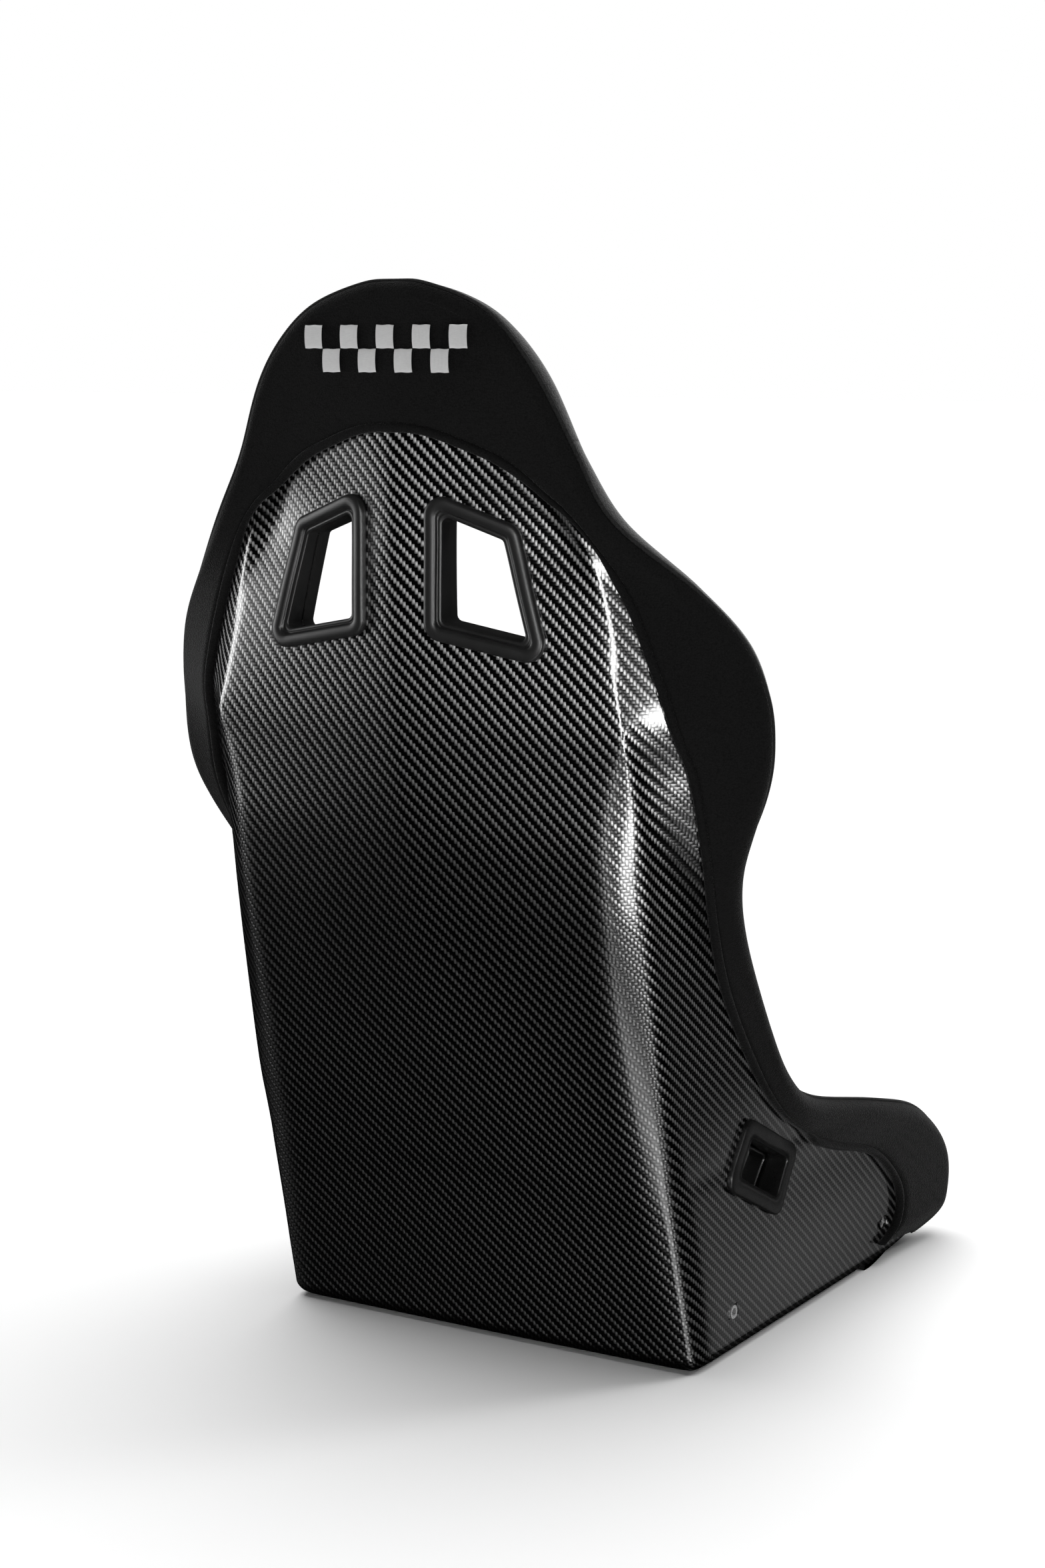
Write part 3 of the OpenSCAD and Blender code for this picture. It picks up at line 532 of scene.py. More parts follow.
def knit_material(name, shade, sheen, grain=1.0, spread=0.3):
    """Fine black knit: rows of small loops with a soft nap that greys at the edges."""
    m = Nodes(name)
    place = m.place()
    cells = m.add("ShaderNodeTexVoronoi", {"Vector": place, "Scale": 700.0, "Randomness": 0.85})
    loops = cells.outputs["Distance"]
    nap = m.noise(1100.0, 3.0, place)
    slow = m.noise(9.0, 3.0, place)
    speck = m.math("MULTIPLY_ADD", m.math("SUBTRACT", 1.0, loops), 0.9, m.math("MULTIPLY", nap, 0.7))
    tone = m.math("MULTIPLY", speck, m.math("MULTIPLY_ADD", slow, 0.4, 0.8))
    m.bump(m.math("MULTIPLY_ADD", loops, -1.0, m.math("MULTIPLY", nap, 0.5)), 0.35 * MM * grain, 0.8)
    m.set(Base_Color=m.mix(tone, grey(shade * 0.05), grey(shade * 2.2)))
    m.set(Roughness=m.math("MULTIPLY_ADD", nap, 0.15, 0.82))
    m.set(Sheen_Weight=sheen, Sheen_Roughness=spread, Sheen_Tint=grey(0.8), Specular_IOR_Level=0.08)
    return m.material


def plastic_material(name, shade, roughness, grain):
    """Moulded plastic with a fine spark-eroded grain."""
    m = Nodes(name)
    place = m.place()
    fine, slow = m.noise(2600.0, 2.0, place), m.noise(60.0, 2.0, place)
    m.bump(fine, grain * MM, 0.7)
    m.set(Base_Color=m.mix(slow, grey(shade * 0.8), grey(shade * 1.25)))
    m.set(Roughness=m.math("MULTIPLY_ADD", fine, 0.16, m.math("MULTIPLY_ADD", slow, 0.06, roughness - 0.1)))
    m.set(Specular_IOR_Level=0.5)
    return m.material


def metal_material(name, shade, roughness, scale):
    """Machined metal with turning or brushing marks."""
    m = Nodes(name)
    stretched = m.add("ShaderNodeMapping", {"Vector": m.place(), "Scale": scale}).outputs[0]
    marks = m.noise(1.0, 4.0, stretched)
    m.bump(marks, 0.03 * MM, 0.6)
    m.set(Base_Color=m.mix(marks, grey(shade * 0.75), grey(shade)), Metallic=0.55)
    m.set(Roughness=m.math("MULTIPLY_ADD", marks, 0.2, roughness))
    return m.material


def strip_material(name, shade, scale):
    """Hook or loop tape: a dense stand of short filaments."""
    m = Nodes(name)
    cells = m.add("ShaderNodeTexVoronoi", {"Vector": m.place(), "Scale": scale}).outputs["Distance"]
    m.bump(m.math("SUBTRACT", 1.0, cells), 0.6 * MM, 1.0)
    m.set(Base_Color=m.mix(cells, grey(shade * 2.2), grey(shade * 0.4)))
    m.set(Roughness=m.math("MULTIPLY_ADD", cells, 0.2, 0.7))
    m.set(Sheen_Weight=0.3, Sheen_Roughness=0.5)
    return m.material


def thread_material(name, shade, sheen):
    """Satin-stitched thread, laid side by side."""
    m = Nodes(name)
    place = m.place()
    stretched = m.add("ShaderNodeMapping", {"Vector": place, "Scale": (300.0, 300.0, 3400.0)}).outputs[0]
    ply = m.noise(1.0, 2.0, stretched)
    slow = m.noise(120.0, 2.0, place)
    m.bump(ply, 0.12 * MM, 0.7)
    m.set(Base_Color=m.mix(m.math("MULTIPLY_ADD", ply, 0.7, m.math("MULTIPLY", slow, 0.3)),
                           grey(shade * 0.7), grey(shade)))
    m.set(Roughness=m.math("MULTIPLY_ADD", ply, 0.2, 0.42), Sheen_Weight=sheen, Sheen_Roughness=0.3)
    return m.material


def floor_material():
    m = Nodes("studio_floor")
    m.set(Base_Color=grey(0.94), Specular_IOR_Level=0.0)
    m.set(Roughness=m.math("MULTIPLY_ADD", m.noise(3.0), 0.1, 0.85))
    return m.material


CARBON = carbon_material()
COVER = knit_material("cover_knit", 0.0035, 0.20, 1.6, 0.30)
# The same black knit as the cover, painted lighter: a lit copy that makes the tops of the thigh supports
# look lit from above.
SIDE_KNIT_PAINTED_LIGHTER = knit_material("bolster_knit_painted_lighter", 0.022, 0.7, 1.2, 0.45)
# The same black knit again, painted lighter: a lit copy so that the cushions and their sewn channels show
# from the front.
CUSHION_PAINTED_LIGHTER = knit_material("cushion_knit_painted_lighter", 0.018, 0.7, 1.4)
PIPING = knit_material("piping_knit", 0.012, 0.3, 0.7)
BEZEL = plastic_material("bezel_plastic", 0.016, 0.34, 0.08)
LAP_BEZEL = plastic_material("lap_bezel_plastic", 0.012, 0.28, 0.05)
STEEL = metal_material("insert_steel", 0.78, 0.16, (1500.0, 1500.0, 1500.0))
ALUMINIUM = metal_material("plate_aluminium", 0.66, 0.28, (2500.0, 30.0, 2500.0))
HOOKS = strip_material("hook_tape", 0.02, 1100.0)
LOOPS = strip_material("loop_tape", 0.025, 800.0)
THREAD = thread_material("motif_thread", 0.85, 0.1)

# ---------------------------------------------------------------- the laminate shell


def half_places():
    """Places across one half of a section, closer together round the ridges."""
    runs = ((0, 0.8, 21), (0.8, 1.4, 31), (1.4, RIM, 25))
    return np.concatenate([np.linspace(*run)[1:] for run in runs])


def level_normals(rows):
    """Level normals of a grid of sections, pointing out of the seat."""
    d = np.gradient(rows, axis=1)
    return unit(np.stack([-d[..., 1], d[..., 0], np.zeros(d.shape[:2])], -1))


def shell_piece():
    """The laminate: outer and inner skins joined at the rim and over the floor, with its openings cut."""
    s = half_places()
    s = np.concatenate([-s[::-1], [0.0], s])
    v = np.concatenate([np.linspace(0, 1, 21)[:-1] ** 1.5, np.linspace(1, 24, 170)])
    outer = shell_point(v[:, None], s[None, :])
    lift = np.maximum(SHELL_T * (1 - outer[..., 2:] / (FLOOR_RADIUS + 2)), 0) * np.array([0.0, 0.0, 1.0])
    inner = outer - level_normals(outer) * SHELL_T + lift
    rows, m = outer.shape[:2]
    base = rows * m
    faces = []
    for i in range(rows - 1):
        for j in range(m - 1):
            a = i * m + j
            faces.append((a, a + 1, a + m + 1, a + m))
            faces.append((base + a, base + a + m, base + a + m + 1, base + a + 1))
        left, right = i * m, i * m + m - 1
        faces.append((left, left + m, base + left + m, base + left))
        faces.append((right, base + right, base + right + m, right + m))
    top = (rows - 1) * m
    faces += [(top + j, top + j + 1, base + top + j + 1, base + top + j) for j in range(m - 1)]
    for j in range((m - 1) // 2):
        far = m - 1 - j
        inner_ring = (base + j, base + far, base + far - 1, base + j + 1)
        faces.append((j, j + 1, far - 1, far) if far - 1 > j + 1 else (j, j + 1, far))
        faces.append(inner_ring if far - 1 > j + 1 else inner_ring[:3])
    faces.append((0, m - 1, base + m - 1, base))
    # Cloth coordinates: distance round each section and distance up the centre line.
    round_section = np.concatenate(
        [np.zeros((rows, 1)), np.cumsum(np.linalg.norm(np.diff(outer, axis=1), axis=-1), 1)], 1)
    round_section -= round_section[:, (m - 1) // 2][:, None]
    centre = outer[:, (m - 1) // 2]
    up = np.concatenate([[0], np.cumsum(np.linalg.norm(np.diff(centre, axis=0), axis=-1))])
    uv = np.stack([round_section, np.broadcast_to(up[:, None], round_section.shape)], -1) * MM
    points = np.concatenate([outer.reshape(-1, 3), inner.reshape(-1, 3)])
    piece = new_piece("shell_laminate", points, faces, CARBON, slot="carbon_laminate", replaces=["shell"],
                      uv=np.concatenate([uv.reshape(-1, 2)] * 2))
    outward(piece)
    cut(piece, [lip_solid()], "UNION")
    cut(piece, shell_openings())
    outward(piece)


# Middle line of the upturned front lip, y and z.
LIP_LINE = [(-118, 1.8), (-127, 1.8), (-145, 4), (-165, 8.2), (-190, 15), (-210, 24), (-225, 36),
            (-234, 52), (-238, 72)]


def lip_solid(margin=0.0):
    """The upturned front of the pan, between the side walls."""
    steps = np.linspace(0, len(LIP_LINE) - 1, 60)
    line = smooth(np.array(LIP_LINE, float), steps)
    d = unit(np.gradient(line, axis=0))
    side = np.stack([-d[:, 1], d[:, 0]], -1) * (SHELL_T / 2 + margin)
    section = np.concatenate([line + side, (line - side)[::-1]])
    x = np.linspace(-1, 1, 40) * (HALF_W - 1.5)
    rings = np.zeros((len(x), len(section), 3))
    rings[..., 0] = x[:, None]
    rings[..., 1:] = section[None]
    return cutter(rings)


def harness_world(points, depth):
    """Points of the shoulder belt opening's plane, depth towards the front, on the left side."""
    x = HARNESS_X + points[:, 0] * math.cos(HARNESS_YAW) - depth * math.sin(HARNESS_YAW)
    y = HARNESS_Y - points[:, 0] * math.sin(HARNESS_YAW) - depth * math.cos(HARNESS_YAW)
    return np.stack([x, y, points[:, 1]], -1)


def lap_corners():
    """The lap belt opening's corners in the plane of the side, turned down towards the front."""
    c, s = math.cos(LAP_SLOPE), math.sin(LAP_SLOPE)
    a, b = LAP_LENGTH / 2, LAP_HEIGHT / 2
    return [(LAP_Y + y * c - z * s, LAP_Z + y * s + z * c) for y, z in ((-a, -b), (a, -b), (a, b), (-a, b))]


def crotch_corners():
    a, b = CROTCH_L / 2, CROTCH_W / 2
    return [(-a, CROTCH_Y - b), (a, CROTCH_Y - b), (a, CROTCH_Y + b), (-a, CROTCH_Y + b)]


def lap_cutter(side, d, far=228):
    """A block through one side out to x = far, as wide as the lap belt opening drawn in by d."""
    outline = rounded_outline(lap_corners(), d, 6, 8, 2)
    across = np.stack([np.column_stack([np.full(len(outline), x), outline]) for x in (150, far)])
    return cutter(across * np.array([side, 1, 1]))


def harness_cutter(side, d):
    """A block through the back, as wide as a shoulder belt opening drawn in by d."""
    outline = rounded_outline(HARNESS_OUTLINE, d, 7, 8, 2)
    return cutter(np.stack([harness_world(outline, t) for t in (-14, 60)]) * np.array([side, 1, 1]))


def shell_openings():
    """Cutters for the belt openings, the insert holes and the crotch strap opening."""
    tools = []
    for side in (1, -1):
        tools += [harness_cutter(side, HARNESS_RING - 5.2), lap_cutter(side, LAP_RING - 4.2, far=230)]
        for y in (-INSERT_Y, INSERT_Y):
            t = np.linspace(0, 2 * math.pi, 32, endpoint=False)
            r = INSERT_D / 2 + 0.1
            circle = np.column_stack([y + r * np.cos(t), INSERT_Z + r * np.sin(t)])
            drill = np.stack([np.column_stack([np.full(32, x * side), circle]) for x in (194, 212)])
            tools.append(cutter(drill))
    slot = rounded_outline(crotch_corners(), -2.5, 13.5, 10, 2)
    tools.append(cutter(np.stack([np.column_stack([slot, np.full(len(slot), z)]) for z in (-1.0, 8.0)])))
    return tools


shell_piece()

# ---------------------------------------------------------------- cover, hem, piping


def cover_steps(count=280):
    return np.linspace(0, COVER_END, count)


def soften(rings, times=2):
    """Rounds a loop of points a little, along the loop only."""
    for _ in range(times):
        rings = (np.roll(rings, 1, 1) + 2 * rings + np.roll(rings, -1, 1)) / 4
    return rings


def fair(rings, times=15):
    """Eases a run of sections along its length, so that no corner shows."""
    for _ in range(times):
        rings[1:-1] = (rings[:-2] + 2 * rings[1:-1] + rings[2:]) / 4
    return rings


def rear_cover():
    """The knit cover, from the hem over the rim roll to the rim seam."""
    i = cover_steps()
    r, seam = roll_size(i), seam_turn(i)
    h = COVER_H * r / ROLL_R
    points = [cover_point(i, k, h * share) for k, share in ((-0.016, 0.15), (-0.012, 0.6), (0.006, 0.9))]
    for k in np.linspace(0.05, 0.9, 18):
        puff = 0.9 * math.sin(math.pi * k)
        points.append(cover_point(i, k, h + (r - SHELL_T / 2 - h) * k ** 2 + puff))
    points += [roll_point(i, 90 + (seam + SEAM_GAP - 90) * k, r) for k in np.linspace(0, 1, 12)]
    points += [roll_point(i, seam + 2, r * 0.86), roll_point(i, np.full_like(i, 20.0), r * 0.35)]
    points += [cover_point(i, k, np.full_like(i, 0.6)) for k in (0.92, 0.7, 0.5, 0.3, 0.15, 0.0)]
    rings = np.stack(points, 1)
    loose = soften(rings, 2)
    loose[0] = loose[0] * np.array([0, 1, 1])
    piece = loft("rear_cover_knit", fair(mirrored(loose)), COVER, slot="cover_fabric",
                 replaces=["rear_cover"])


def rim_piping():
    """The cord in the rim seam."""
    i = cover_steps(420)
    _, out, rear = rim_frame(i)
    r = PIPING_D / 2 * (0.5 + 0.5 * roll_size(i) / ROLL_R)
    path = roll_point(i, seam_turn(i), roll_size(i) - 0.4)
    path[0, 0] = 0
    loft("rim_piping_cord", fair(mirrored(tube(path, out, rear, r, 14)), 34), PIPING, slot="piping_fabric",
         replaces=["rim_piping"])


def hem_roll():
    """The rolled hem that meets the laminate."""
    i = cover_steps(420)
    base = cover_point(i, 0.0, np.zeros_like(i))
    up = unit(cover_point(i, 0.0, np.ones_like(i)) - base)
    inward = unit(cover_point(i, 0.1, np.zeros_like(i)) - base)
    r = HEM_D / 2 * (1 + 0.03 * np.sin(i * 23.0) * np.sin(i * 7.1))
    path = base - inward * HEM_D * 0.33 + up * (HEM_D / 2 - 0.3)
    path[0, 0] = 0
    loft("hem_roll_knit", fair(mirrored(tube(path, -inward, up, r, 18)), 34), COVER, slot="cover_fabric",
         replaces=["hem_roll"])


rear_cover()
rim_piping()
hem_roll()

# ---------------------------------------------------------------- moulded belt surrounds


def solve_row(table, z):
    """Row position of a height on a table."""
    v = np.linspace(0, len(table) - 1, 4001)
    return np.interp(z, smooth(table, v)[:, 0], v)


def on_rear(table, x, z):
    """Surface point and normal of the back at x and z."""
    v = solve_row(table, z)
    s = x / smooth(table, v)[:, 2]
    return skin(table, v, s), normal(table, v, s)


def on_side(table, y, z):
    """Surface point and normal of the side at y and z."""
    v = solve_row(table, z)
    r = smooth(table, v)
    s = CORNER + np.clip((y - r[:, 5]) / (r[:, 7] - r[:, 5]), 0.001, 1)
    return skin(table, v, s), normal(table, v, s)


def surround(name, outline_at, surface_at, profile, material, **facts):
    """A ring swept round an opening: profile is (inset, corner radius, height over the surface)."""
    loops = []
    for d, r, h in profile:
        points, normals = surface_at(outline_at(d, r))
        loops.append(points + normals * h)
    loops = np.stack(loops)
    side = facts.pop("side", 1)
    return loft(name, loops * np.array([side, 1, 1]), material, closed_rows=True, **facts)


def d_profile(ring, proud, depth, sleeve, outer_r, inner_r):
    """Section of a surround: a rounded bead on the surface, a fine groove, and a lipped sleeve."""
    groove, lip = ring * 0.74, ring * 0.80
    bead = [(0.0, outer_r, -0.8)]
    for a in np.linspace(0.06, math.pi - 0.25, 15):
        across = (1 - math.cos(a)) / 2
        height = proud * math.sin(a) ** 0.36
        bead.append((groove * across * 1.02, outer_r + (inner_r - outer_r) * across, height))
    top = proud * 0.42
    bead += [(groove + 0.3, inner_r + 2.2, top - 0.5), (lip, inner_r + 1.6, top - 0.2)]
    bead += [(lip + 0.5, inner_r + 1.2, top), (ring - 0.5, inner_r + 0.3, top - 0.2)]
    bead.append((ring, inner_r, top - 0.9))
    walls = [(ring, inner_r, top - 0.9 - (depth + top) * k) for k in np.linspace(0.06, 0.94, 8)]
    ends = [(ring, inner_r, -depth), (sleeve, inner_r + 2, -depth), (sleeve, inner_r + 2, -1.2)]
    return bead + walls + ends


def harness_surrounds():
    def outline(d, r):
        return rounded_outline(HARNESS_OUTLINE, d, r, 12, 10)

    def rear(points):
        return on_rear(SHELL_ROWS, HARNESS_X + points[:, 0] * math.cos(HARNESS_YAW), points[:, 1])

    def front(points):
        where, n = on_rear(INSIDE_ROWS, HARNESS_X - 4 + points[:, 0] * math.cos(HARNESS_YAW), points[:, 1])
        return where, -n

    for side, hand in ((1, "left"), (-1, "right")):
        surround(f"harness_surround_rear_{hand}", outline, rear,
                 d_profile(HARNESS_RING, 6.6, 15.5, HARNESS_RING - 4, 15, 5), BEZEL, side=side,
                 slot="bezel_plastic", replaces=[f"harness_bezel_rear_{hand}"])
        thinner = d_profile(HARNESS_RING - 3.5, 3.8, 13.0, HARNESS_RING - 7.5, 12, 5)
        flat = [(d + 3.5, r, h) for d, r, h in thinner]
        surround(f"harness_surround_front_{hand}", outline, front, flat, BEZEL, side=side,
                 slot="bezel_plastic", replaces=[f"harness_bezel_front_{hand}"])


def plate_profile(ring, proud, depth, sleeve, outer_r, inner_r):
    """Section of a flat-faced surround with small edge radii."""
    edge = 1.3
    turn = np.linspace(0, math.pi / 2, 5)
    points = [(0.0, outer_r, -1.5)]
    points += [(edge * (1 - math.cos(a)), outer_r, proud - edge * (1 - math.sin(a))) for a in turn]
    middle = (outer_r + inner_r) / 2
    points += [(ring * k, middle, proud + 0.25 * math.sin(math.pi * k)) for k in (0.35, 0.65)]
    points += [(ring - 0.7 * math.cos(a), inner_r, proud - 0.7 * (1 - math.cos(a - math.pi / 2)))
               for a in turn[1:]]
    points += [(ring, inner_r, proud - 0.9 - (depth + proud) * k) for k in np.linspace(0.05, 1, 8)]
    return points + [(sleeve, inner_r + 2, -depth - 0.9), (sleeve, inner_r + 2, -2.0)]


def lap_surrounds():
    def outline(d, r):
        return rounded_outline(lap_corners(), d, r, 12, 8)

    def outer(points):
        return on_side(SHELL_ROWS, points[:, 0], points[:, 1])

    def inner(points):
        where, n = on_side(INSIDE_ROWS, points[:, 0], points[:, 1])
        return where, -n

    for side, hand in ((1, "left"), (-1, "right")):
        surround(f"lap_surround_outer_{hand}", outline, outer,
                 plate_profile(LAP_RING, 5.0, 14.5, LAP_RING - 3, 12, 4), LAP_BEZEL, side=side,
                 slot="bezel_plastic", replaces=[f"lap_bezel_outer_{hand}"])
        flat = [(d + 5, r, h) for d, r, h in plate_profile(LAP_RING - 5, 3.5, 11.0, LAP_RING - 8, 9, 4)]
        surround(f"lap_surround_inner_{hand}", outline, inner, flat, LAP_BEZEL, side=side,
                 slot="bezel_plastic", replaces=[f"lap_bezel_inner_{hand}"])


def crotch_surround():
    def outline(d, r):
        return rounded_outline(crotch_corners(), d, r, 14, 8)

    def floor_at(points):
        up = np.broadcast_to(np.array([0.0, 0.0, 1.0]), (len(points), 3))
        return np.column_stack([points, np.full(len(points), SHELL_T)]), up

    profile = [(-8, 21, 0.1)]
    profile += [(-8 + 8 * (1 - math.cos(a)) / 2, 21 - 4 * a / math.pi * 2, 0.1 + 2.1 * math.sin(a) ** 0.5)
                for a in np.linspace(0.15, math.pi - 0.05, 12)]
    profile += [(0, 11, -1), (0, 11, -3.2), (-2.3, 13.3, -3.2), (-2.3, 13.3, 0.1)]
    surround("crotch_surround", outline, floor_at, profile, BEZEL, slot="bezel_plastic",
             replaces=["crotch_grommet"])


harness_surrounds()
lap_surrounds()
crotch_surround()

# ---------------------------------------------------------------- padding


def smooth_pad(piece, voxel):
    """Remeshes a pad to even small faces."""
    modifier = piece.modifiers.new("even", "REMESH")
    modifier.mode, modifier.voxel_size = "VOXEL", voxel * MM
    bpy.context.view_layer.update()
    return apply_modifiers(piece)


def vectors(items, key):
    """One vector a row, read in one go."""
    flat = np.zeros(len(items) * 3, np.float32)
    items.foreach_get(key, flat)
    return flat.reshape(-1, 3).astype(float)


def coordinates(mesh):
    return vectors(mesh.vertices, "co")


def move(mesh, points):
    mesh.vertices.foreach_set("co", np.asarray(points, np.float32).ravel())
    mesh.update()


def vertex_normals(mesh):
    return vectors(mesh.vertex_normals, "vector")


def inflate(piece, pressure, cap, held):
    """Blows a pad up with simulated cloth; held is a test of which points stay where they rest."""
    mesh = piece.data
    start = coordinates(mesh)
    group = piece.vertex_groups.new(name="held")
    pinned = np.nonzero(held(start / MM, vertex_normals(mesh)))[0]
    group.add([int(k) for k in pinned], 1.0, "REPLACE")
    cloth = piece.modifiers.new("cloth", "CLOTH")
    settings = cloth.settings
    settings.quality = 5
    settings.mass = 0.25
    settings.use_pressure = True
    settings.uniform_pressure_force = pressure
    settings.tension_stiffness = settings.compression_stiffness = 22
    settings.bending_stiffness = 1.5
    settings.vertex_group_mass = "held"
    settings.effector_weights.gravity = 0
    cloth.collision_settings.use_collision = False
    cloth.point_cache.frame_start, cloth.point_cache.frame_end = 1, 20
    scene = bpy.context.scene
    for step in range(1, 21):
        scene.frame_set(step)
    graph = bpy.context.evaluated_depsgraph_get()
    blown = coordinates(piece.evaluated_get(graph).data)
    piece.modifiers.clear()
    piece.vertex_groups.clear()
    scene.frame_set(1)
    travel = blown - start
    length = np.linalg.norm(travel, axis=1, keepdims=True)
    move(mesh, start + travel * np.minimum(1, cap * MM / np.maximum(length, 1e-9)))


def sew(piece, lines, facing):
    """Draws sewn channels into a pad; each line is (distance function in mm, width, depth)."""
    mesh = piece.data
    points, normals = coordinates(mesh), vertex_normals(mesh)
    front = np.clip(normals @ np.array(facing) * 2 - 0.2, 0, 1)
    drop = np.zeros(len(points))
    for distance, width, depth in lines:
        d = np.abs(distance(points / MM)) / width
        drop = np.maximum(drop, depth * np.exp(-d * d) + 0.35 * depth * np.exp(-d * d / 9))
    move(mesh, points - normals * (drop * front * MM)[:, None])


def pad(name, rings, node, body=SEAT, voxel=4.0, pressure=None, cap=3.0, held=None, lines=(),
        facing=(0, -1, 0), openings=(), material=CUSHION_PAINTED_LIGHTER):
    """A padded part: cut to its openings, puffed up, sewn and smoothed."""
    piece = loft(name, rings, material, body=body, slot="cover_fabric", replaces=[node])
    if openings:
        cut(piece, openings)
    if pressure:
        smooth_pad(piece, voxel)
        inflate(piece, pressure, cap, held)
        if lines:
            sew(piece, lines, facing)
        subdivide(piece)
    dress(piece, material, body)


def crown(a, p):
    """1 in the middle of 0 to 1, falling to 0 at both ends."""
    return 1 - np.abs(2 * a - 1) ** p


def front_roll(i, turns):
    """The front half of the rim roll at cover step i, up to the seam."""
    r, end = roll_size(i), seam_turn(i) - SEAM_GAP
    return [roll_point(i, -80 + (end + 80) * k, r) for k in turns]


def bolster_rings(v, s0):
    """Sections of a side bolster with its half of the rim roll; v and s0 run along it."""
    i = np.interp(-v, -COVER_PATH[1:, 0], np.arange(1, COVER_END + 1))
    face = []
    for b in np.linspace(0, 1, 26):
        dip = 0.10 * np.exp(-((b - 0.36) / 0.018) ** 2) + 0.05 * np.exp(-((b - 0.36) / 0.07) ** 2)
        face.append(between(v, s0 + (2.12 - s0) * b, 1 - 0.25 * (1 - b) ** 6 - dip * 0.7))
    face += front_roll(i, np.linspace(0, 1, 14))
    face += [roll_point(i, seam_turn(i) - 2, roll_size(i) * 0.86), roll_point(i, -25, roll_size(i) * 0.35)]
    face += [between(v, s0 + (2.15 - s0) * b, 0.02) for b in np.linspace(1, 0, 14)]
    return np.stack(face, 1)


def round_ends(rings, count=5, share=0.12, ends=(0, -1)):
    """Draws the first and last sections in a little, so that a pad ends in a soft edge."""
    rings = rings.copy()
    for end in ends:
        centre = rings[end].mean(0)
        for k in range(count):
            index = k if end == 0 else -1 - k
            t = 1 - (1 - k / count) ** 2
            shift = rings[index].mean(0) - centre
            squeeze = 1 - share * (1 - math.sqrt(max(t, 0)))
            rings[index] = centre + shift + (rings[index] - rings[index].mean(0)) * squeeze
    return rings


def side_bolsters():
    """The shoulder and thigh supports of both sides."""
    for side, hand in ((1, "left"), (-1, "right")):
        v = np.linspace(9.4, 20.27, 140)
        rings = round_ends(bolster_rings(v, np.full_like(v, 1.3)), ends=(0,)) * np.array([side, 1, 1])
        pad(f"shoulder_bolster_{hand}_knit", rings, f"shoulder_bolster_{hand}", material=SIDE_KNIT_PAINTED_LIGHTER)
        v = np.linspace(1.0, 9.3, 130)
        s0 = np.where(v > 2.7, 1.26, np.where(v < 2.4, 2.08, 2.08 - (v - 2.4) / 0.3 * 0.82))
        rings = round_ends(bolster_rings(v, s0)) * np.array([side, 1, 1])
        pad(f"thigh_bolster_{hand}_knit", rings, f"thigh_bolster_{hand}", material=SIDE_KNIT_PAINTED_LIGHTER,
            openings=[lap_cutter(side, LAP_RING - 3.4), lip_solid(2.2)])


def head_edge():
    """The padded edge that runs over the top of the head."""
    i = np.linspace(0, 5.66, 90)
    p, r = cover_at(i), roll_size(i)
    reach = 0.42 + 0.33 * np.clip((i - 1) / 2, 0, 1)

    def at(f, w):
        k = f * reach
        v = np.clip(p[:, 0] + (p[:, 2] - p[:, 0]) * k, 20.32, 24)
        return between(v, np.clip(p[:, 1] + (p[:, 3] - p[:, 1]) * k, 0, RIM), w)

    points = [at(f, 0.75 + 0.25 * min(1, (1 - f) / 0.24)) for f in np.linspace(1, 0.19, 14)]
    points += front_roll(i, np.linspace(0, 1, 14))
    points += [roll_point(i, seam_turn(i) - 2, r * 0.86), roll_point(i, -25, r * 0.35)]
    points += [at(f, 0.02) for f in (0.12, 0.3, 0.48, 0.74, 1)]
    rings = np.stack(points, 1)
    rings[0] = rings[0] * np.array([0, 1, 1])
    pad("head_bolster_knit", fair(mirrored(rings), 12), "head_bolster", material=SIDE_KNIT_PAINTED_LIGHTER)


def wide_rings(v0, v1, s1, rows, steps, puff):
    """Sections of a full-width pad between two rows, out to place s1 on both sides."""
    a = np.linspace(0, 1, rows)
    v, depth = v0 + (v1 - v0) * a, 1 - puff + puff * crown(a, 6)
    b = np.linspace(-1, 1, steps)
    face = between(v[:, None], s1 * b[None], depth[:, None] * (1 - puff * b[None] ** 4))
    back = between(v[:, None], s1 * b[None, ::-1], 0.02)
    return np.concatenate([face, back], 1)


def back_rest(points, normals):
    """The rear of an upright pad, which stays against the shell."""
    return normals[:, 1] > 0.3


def wide_pads():
    """The back pad with its sewn bars, the yoke between the shoulders and the head pad."""
    edges = [(lambda p: np.abs(p[:, 0]) - 78, 2.6, 3.2)]
    bars = [(lambda p, z=z: p[:, 2] - z + 0.0006 * p[:, 0] ** 2, 2.6, 3.0)
            for z in (205, 262, 319, 376, 433)]
    pad("back_pad_knit", wide_rings(2.5, 14.5, 1.2, 60, 40, 0.15), "back_pad", voxel=5,
        pressure=3.0, cap=2.5, held=back_rest, lines=edges + bars)
    yoke = [(lambda p: p[:, 2] - 560 - 0.0012 * p[:, 0] ** 2, 2.6, 3.0)]
    slots = [harness_cutter(side, HARNESS_RING - 5.2) for side in (1, -1)]
    pad("upper_back_pad_knit", wide_rings(14.6, 19.9, 1.2, 40, 40, 0.12), "upper_back_pad", voxel=5,
        pressure=2.0, cap=1.5, held=back_rest, lines=yoke, openings=slots)
    pad("head_pad_knit", wide_rings(20, 22.35, 0.98, 40, 40, 0.25), "head_pad", voxel=4, pressure=3.0, cap=3,
        held=back_rest, lines=[(lambda p: np.abs(p[:, 0]) - 46, 2.4, 2.4)])


def on_back(v, s, d):
    """A point d in front of the padded back."""
    return skin(INSIDE_ROWS, v, s) - np.asarray(d)[..., None] * np.array([0.0, 1.0, 0.0])


